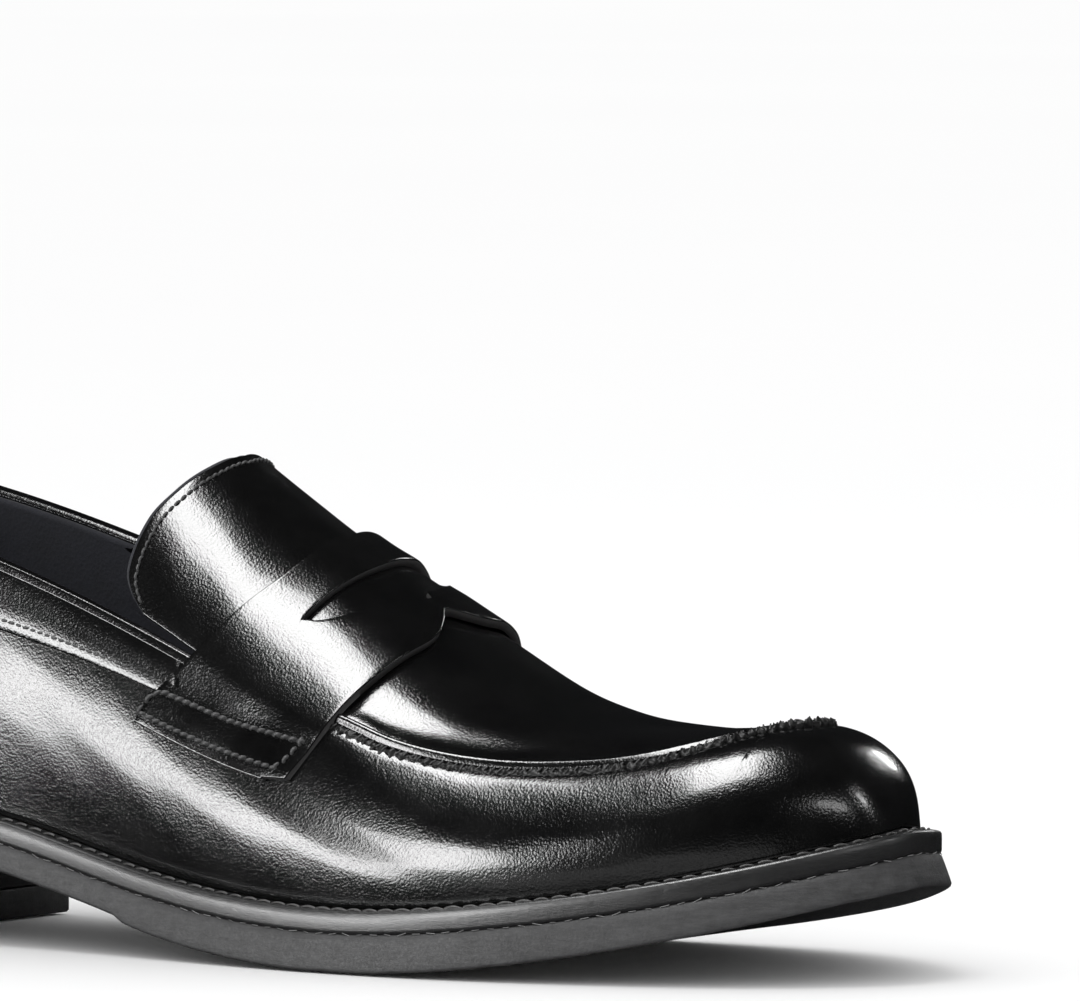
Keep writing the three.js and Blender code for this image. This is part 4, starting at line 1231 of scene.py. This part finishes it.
def welt():
    top = SOLE[:, 2] - 0.3
    rings = []
    for distance, drop in ((-6, 0.0), (0.2, 0.0), (1.0, 0.12), (2.6, 0.12), (3.2, 0.02), (3.75, 0.15),
                           (4.0, 0.5), (4.02, 1.6), (4.0, 3.6), (3.85, 4.15), (3.6, 4.35)):
        rings.append(with_z(ring_at(distance), top - drop))
    rings += [with_z(ring_at(-6), top - 4.35)]
    count = len(SOLE)
    faces = grid_faces(len(rings) + 1, count, closed=True)
    total = len(rings) * count
    faces = [tuple(k % total for k in face) for face in faces]
    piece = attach(make_solid("welt_finished", np.concatenate(rings), faces, WELT), "shoe")
    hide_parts("welt")
    line = with_z(ring_at(1.75), top + 0.08)
    line = np.concatenate([line, line[:1]])
    line = evenly(line, 0.8)
    normal = np.tile([0.0, 0.0, 1.0], (len(line), 1))
    stitches("welt_stitches", [(line, normal)], 3.6, 3.2, 0.6, 0.22, WELT_THREAD, turn=0.1, uneven=0.09)
    joint = np.concatenate([ring_at(4.0), ring_at(4.0)[:1]])
    joint[:, 2] -= 4.72
    joint = evenly(joint, 0.8)
    out = unit(np.cross(along(joint), np.tile([0.0, 0.0, 1.0], (len(joint), 1))))
    stitches("joint_flecks", [(joint, out)], 3.1, 1.5, 0.12, 0.03, FLECK, turn=0.0, uneven=0.3)


def outsole():
    top = SOLE[:, 2] - 4.72
    x = mm_from_heel(SOLE[:, 0])
    under = np.maximum(0.0, SOLE[:, 2] - 5.0 - sole_thickness(x))
    flare = 0.25 + 1.5 * smooth(x, 215, 268)
    rings = [with_z(ring_at(d), top - drop) for d, drop in ((-8, 0.0), (3.2, 0.0), (3.75, 0.1), (4.05, 0.4))]
    for share in (0.25, 0.5, 0.75):
        rings.append(with_z(ring_at(4.1 + flare * share), (top - 0.4) * (1 - share) + (under + 0.8) * share))
    rings += [with_z(ring_at(4.1 + flare + d), under + rise)
              for d, rise in ((0.0, 0.7), (-0.12, 0.25), (-0.4, 0.03), (-0.8, 0.0))]
    rings.append(with_z(ring_at(-8), under))
    piece = sole_layer("outsole_finished", rings, RUBBER)
    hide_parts("outsole")


def heel_ring(distance, length):
    """A D-shaped ring: round the heel at a distance from the last, then straight across the breast."""
    ring = ring_at(distance)
    n = SOLE_HALF
    outer = ring[:n][mm_from_heel(ring[:n, 0]) < length]
    inner = np.concatenate([ring[:1], ring[n:][::-1]])
    inner = inner[mm_from_heel(inner[:, 0]) < length]
    last = length - SOLE_LENGTH / 2

    def to_breast(half, after):
        y = np.interp(last, [half[-1, 0], after[0]], [half[-1, 1], after[1]])
        return np.concatenate([half[:-1], [[last, y, half[-1, 2]]]])
    outer = to_breast(outer, ring[len(outer)])
    full_inner = np.concatenate([ring[:1], ring[n:][::-1]])
    inner = to_breast(inner, full_inner[len(inner)])
    whole = np.concatenate([outer[::-1], inner[1:]])
    round_back = evenly(whole, length_of(whole) / 90)[:91]
    share = np.linspace(0, 1, 26)[1:-1, None]
    straight = round_back[-1] * (1 - share) + round_back[0] * share
    straight[:, 0] -= 0.5 * np.sin(math.pi * share[:, 0])
    return np.concatenate([round_back, straight])


def heel():
    feather_x = mm_from_heel(SOLE[:SOLE_HALF + 1, 0])
    feather_z = SOLE[:SOLE_HALF + 1, 2]

    def sole_under(x):
        d = mm_from_heel(x)
        return np.interp(d, feather_x, feather_z) - 5.0 - sole_thickness(d)
    side = 3.3
    rings = []
    for inset, kind, offset in ((6.0, "low", 0.0), (0.55, "low", 0.0), (0.15, "low", 0.15), (0.0, "low", 0.5),
                                (0.0, "mid", 0.33), (0.0, "mid", 0.66), (-0.35, "high", -0.6),
                                (-0.2, "high", -0.1),
                                (0.4, "high", 0.0), (6.0, "high", 0.0)):
        ring = heel_ring(side - inset, HEEL_LENGTH - max(inset, 0))
        top = sole_under(ring[:, 0]) + 0.15
        low = np.full(len(ring), TOP_PIECE + 0.22)
        z = {"low": low + offset, "mid": low + (top - low) * offset, "high": top + offset}[kind]
        rings.append(with_z(ring, z))
    for name, node, finish, slot_name, stack in (
            ("heel_block_finished", "heel_block", STACK, "stacked_heel", rings),
            ("heel_top_lift", "heel_top_piece", TREAD, "rubber", [
                with_z(heel_ring(side - inset, HEEL_LENGTH - max(inset, 0)), z)
                for inset, z in ((6, 0), (0.9, 0), (0.3, 0.12), (0.0, 0.55), (-0.05, 3.0), (0.0, 5.6),
                                 (0.2, 5.95), (0.7, 6.05), (6, 6.05))])):
        count = len(stack[0])
        faces = grid_faces(len(stack), count, closed=True)
        faces += [tuple(range(count)), tuple(range(len(stack) * count - 1, (len(stack) - 1) * count - 1, -1))]
        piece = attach(make_solid(name, np.concatenate(stack), faces, finish), "shoe")
        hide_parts(node)


def insock():
    """The sock: a soft, slightly cupped liner over the insole."""
    rings = []
    for distance, height in ((-6.6, 2.1), (-6.3, 2.4), (-6.25, 3.9), (-6.6, 4.35), (-8.5, 4.5), (-11, 4.52)):
        ring = ring_at(distance)
        rings.append(with_z(ring, SOLE[:, 2] + height))
    count = len(SOLE)
    faces = grid_faces(len(rings), count, closed=True)
    faces += strip_caps(count, SOLE_HALF, 0, False)
    faces += strip_caps(count, SOLE_HALF, (len(rings) - 1) * count, True)
    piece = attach(make_solid("sock_liner_finished", np.concatenate(rings), faces, SOCK), "shoe")
    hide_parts("sock_liner")


GATHERED = box_calf("gathered_calf", 0.3, 0.08)
FLECK = thread("glue_fleck", (0.1, 0.1, 0.1), (0.32, 0.32, 0.32))
BOARD = plain_stock("fibre_board", (0.22, 0.15, 0.09), (0.36, 0.27, 0.17), 1.2, 0.85, 0.1)
FOAM = plain_stock("insole_foam", (0.03, 0.035, 0.045), (0.06, 0.065, 0.08), 0.9, 0.92, 0.25)
CORK = plain_stock("cork_fill", (0.2, 0.1, 0.045), (0.42, 0.25, 0.12), 2.2, 0.88, 0.3)
STEEL = plain_stock("spring_steel", (0.35, 0.35, 0.36), (0.55, 0.55, 0.56), 1.5, 0.35, 0.03, metallic=1.0)

wall()
apron()
apron_seam()
strap()
strap_stitches()
tongue()
collar()
counter()
topline_roll()
linings()
welt()
outsole()
heel()
insock()

for node, finish in (("insole_board", BOARD), ("toe_puff", BOARD), ("counter_stiffener", BOARD),
                     ("insole_foam", FOAM), ("heel_pad", FOAM), ("cork_filler", CORK), ("steel_shank", STEEL),
                     *((f"heel_nail_{k}", STEEL) for k in range(1, 6))):
    for material_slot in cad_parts[node].material_slots:
        material_slot.link = "OBJECT"
        material_slot.material = finish

# ----------------------------------------------------------------------------------------------------
# Floor, light and camera
# ----------------------------------------------------------------------------------------------------
bpy.ops.mesh.primitive_grid_add(x_subdivisions=4, y_subdivisions=4, size=80)
ground = bpy.context.object
ground.name = "floor"
ground.location.z = -0.0004
ground.data.materials.append(floor_finish())
ground.visible_glossy = ground.visible_shadow = False


TOWARDS = Vector((0.539, -0.842, 0.0))     # level direction from the shoe to the camera
RIGHTWARDS = Vector((0.842, 0.539, 0.0))


def softbox(name, towards, right, up, size, brightness, distance=4.0):
    """A rectangular soft light, as bright on its face as asked. Its width lies level, across the view."""
    light = bpy.data.lights.new(name, "AREA")
    light.shape = "RECTANGLE"
    light.size, light.size_y = size
    light.energy = brightness * math.pi * size[0] * size[1]
    lamp = bpy.data.objects.new(name, light)
    facing = (TOWARDS * towards + RIGHTWARDS * right + Vector((0, 0, up))).normalized()
    level_axis = (RIGHTWARDS - facing * RIGHTWARDS.dot(facing)).normalized()
    turn = Matrix((level_axis, facing.cross(level_axis), facing)).transposed().to_4x4()
    lamp.matrix_world = Matrix.Translation(Vector((0.03, 0.0, 0.05)) + facing * distance) @ turn
    lamp.visible_diffuse = False
    bpy.context.collection.objects.link(lamp)
    return lamp


softbox("overhead_softbox", 0.2, -0.2, 0.96, (1.5, 2.8), 22)
softbox("left_softbox", 0.61, -0.78, 0.15, (1.2, 1.8), 22)
softbox("low_left_softbox", 0.27, -0.96, -0.07, (2.3, 0.8), 20)
softbox("front_softbox", 0.75, 0.57, 0.31, (1.4, 0.5), 8)
softbox("right_softbox", 0.25, 0.88, 0.42, (0.8, 0.35), 22)
softbox("rear_softbox", -0.76, 0.52, 0.41, (1.0, 0.35), 20)
softbox("low_softbox", 0.8, -0.56, -0.24, (9.0, 0.7), 0.8)
key = softbox("floor_softbox", 0.1, -0.12, 0.97, (0.6, 0.26), 5.7, 1.4)
key.visible_diffuse, key.visible_glossy = True, False

world = bpy.data.worlds.new("studio")
bpy.context.scene.world = world
world.use_nodes = True
tree = world.node_tree
tree.nodes.clear()
ray = tree.nodes.new("ShaderNodeLightPath")
bright, dim = tree.nodes.new("ShaderNodeBackground"), tree.nodes.new("ShaderNodeBackground")
bright.inputs["Color"].default_value = (1, 1, 1, 1)
bright.inputs["Strength"].default_value = 1.05
dim.inputs["Color"].default_value = (0.9, 0.95, 1.0, 1)
dim.inputs["Strength"].default_value = 0.012
mixed, out = tree.nodes.new("ShaderNodeMixShader"), tree.nodes.new("ShaderNodeOutputWorld")
tree.links.new(ray.outputs["Is Glossy Ray"], mixed.inputs[0])
tree.links.new(bright.outputs[0], mixed.inputs[1])
tree.links.new(dim.outputs[0], mixed.inputs[2])
tree.links.new(mixed.outputs[0], out.inputs["Surface"])
bpy.context.scene.view_settings.view_transform = "Standard"

lens = bpy.data.cameras.new("camera")
lens.lens, lens.sensor_width = 417.69, 36.0
lens.shift_x, lens.shift_y = 0.0008, -0.0281
lens.clip_start, lens.clip_end = 0.05, 200.0
camera = bpy.data.objects.new("camera", lens)
camera.location = (1.335, -2.0019, 0.2227)
aim = Vector((-0.4083, 0.7224, 0.046)) - camera.location
camera.rotation_euler = aim.to_track_quat("-Z", "Y").to_euler()
bpy.context.collection.objects.link(camera)
bpy.context.scene.camera = camera
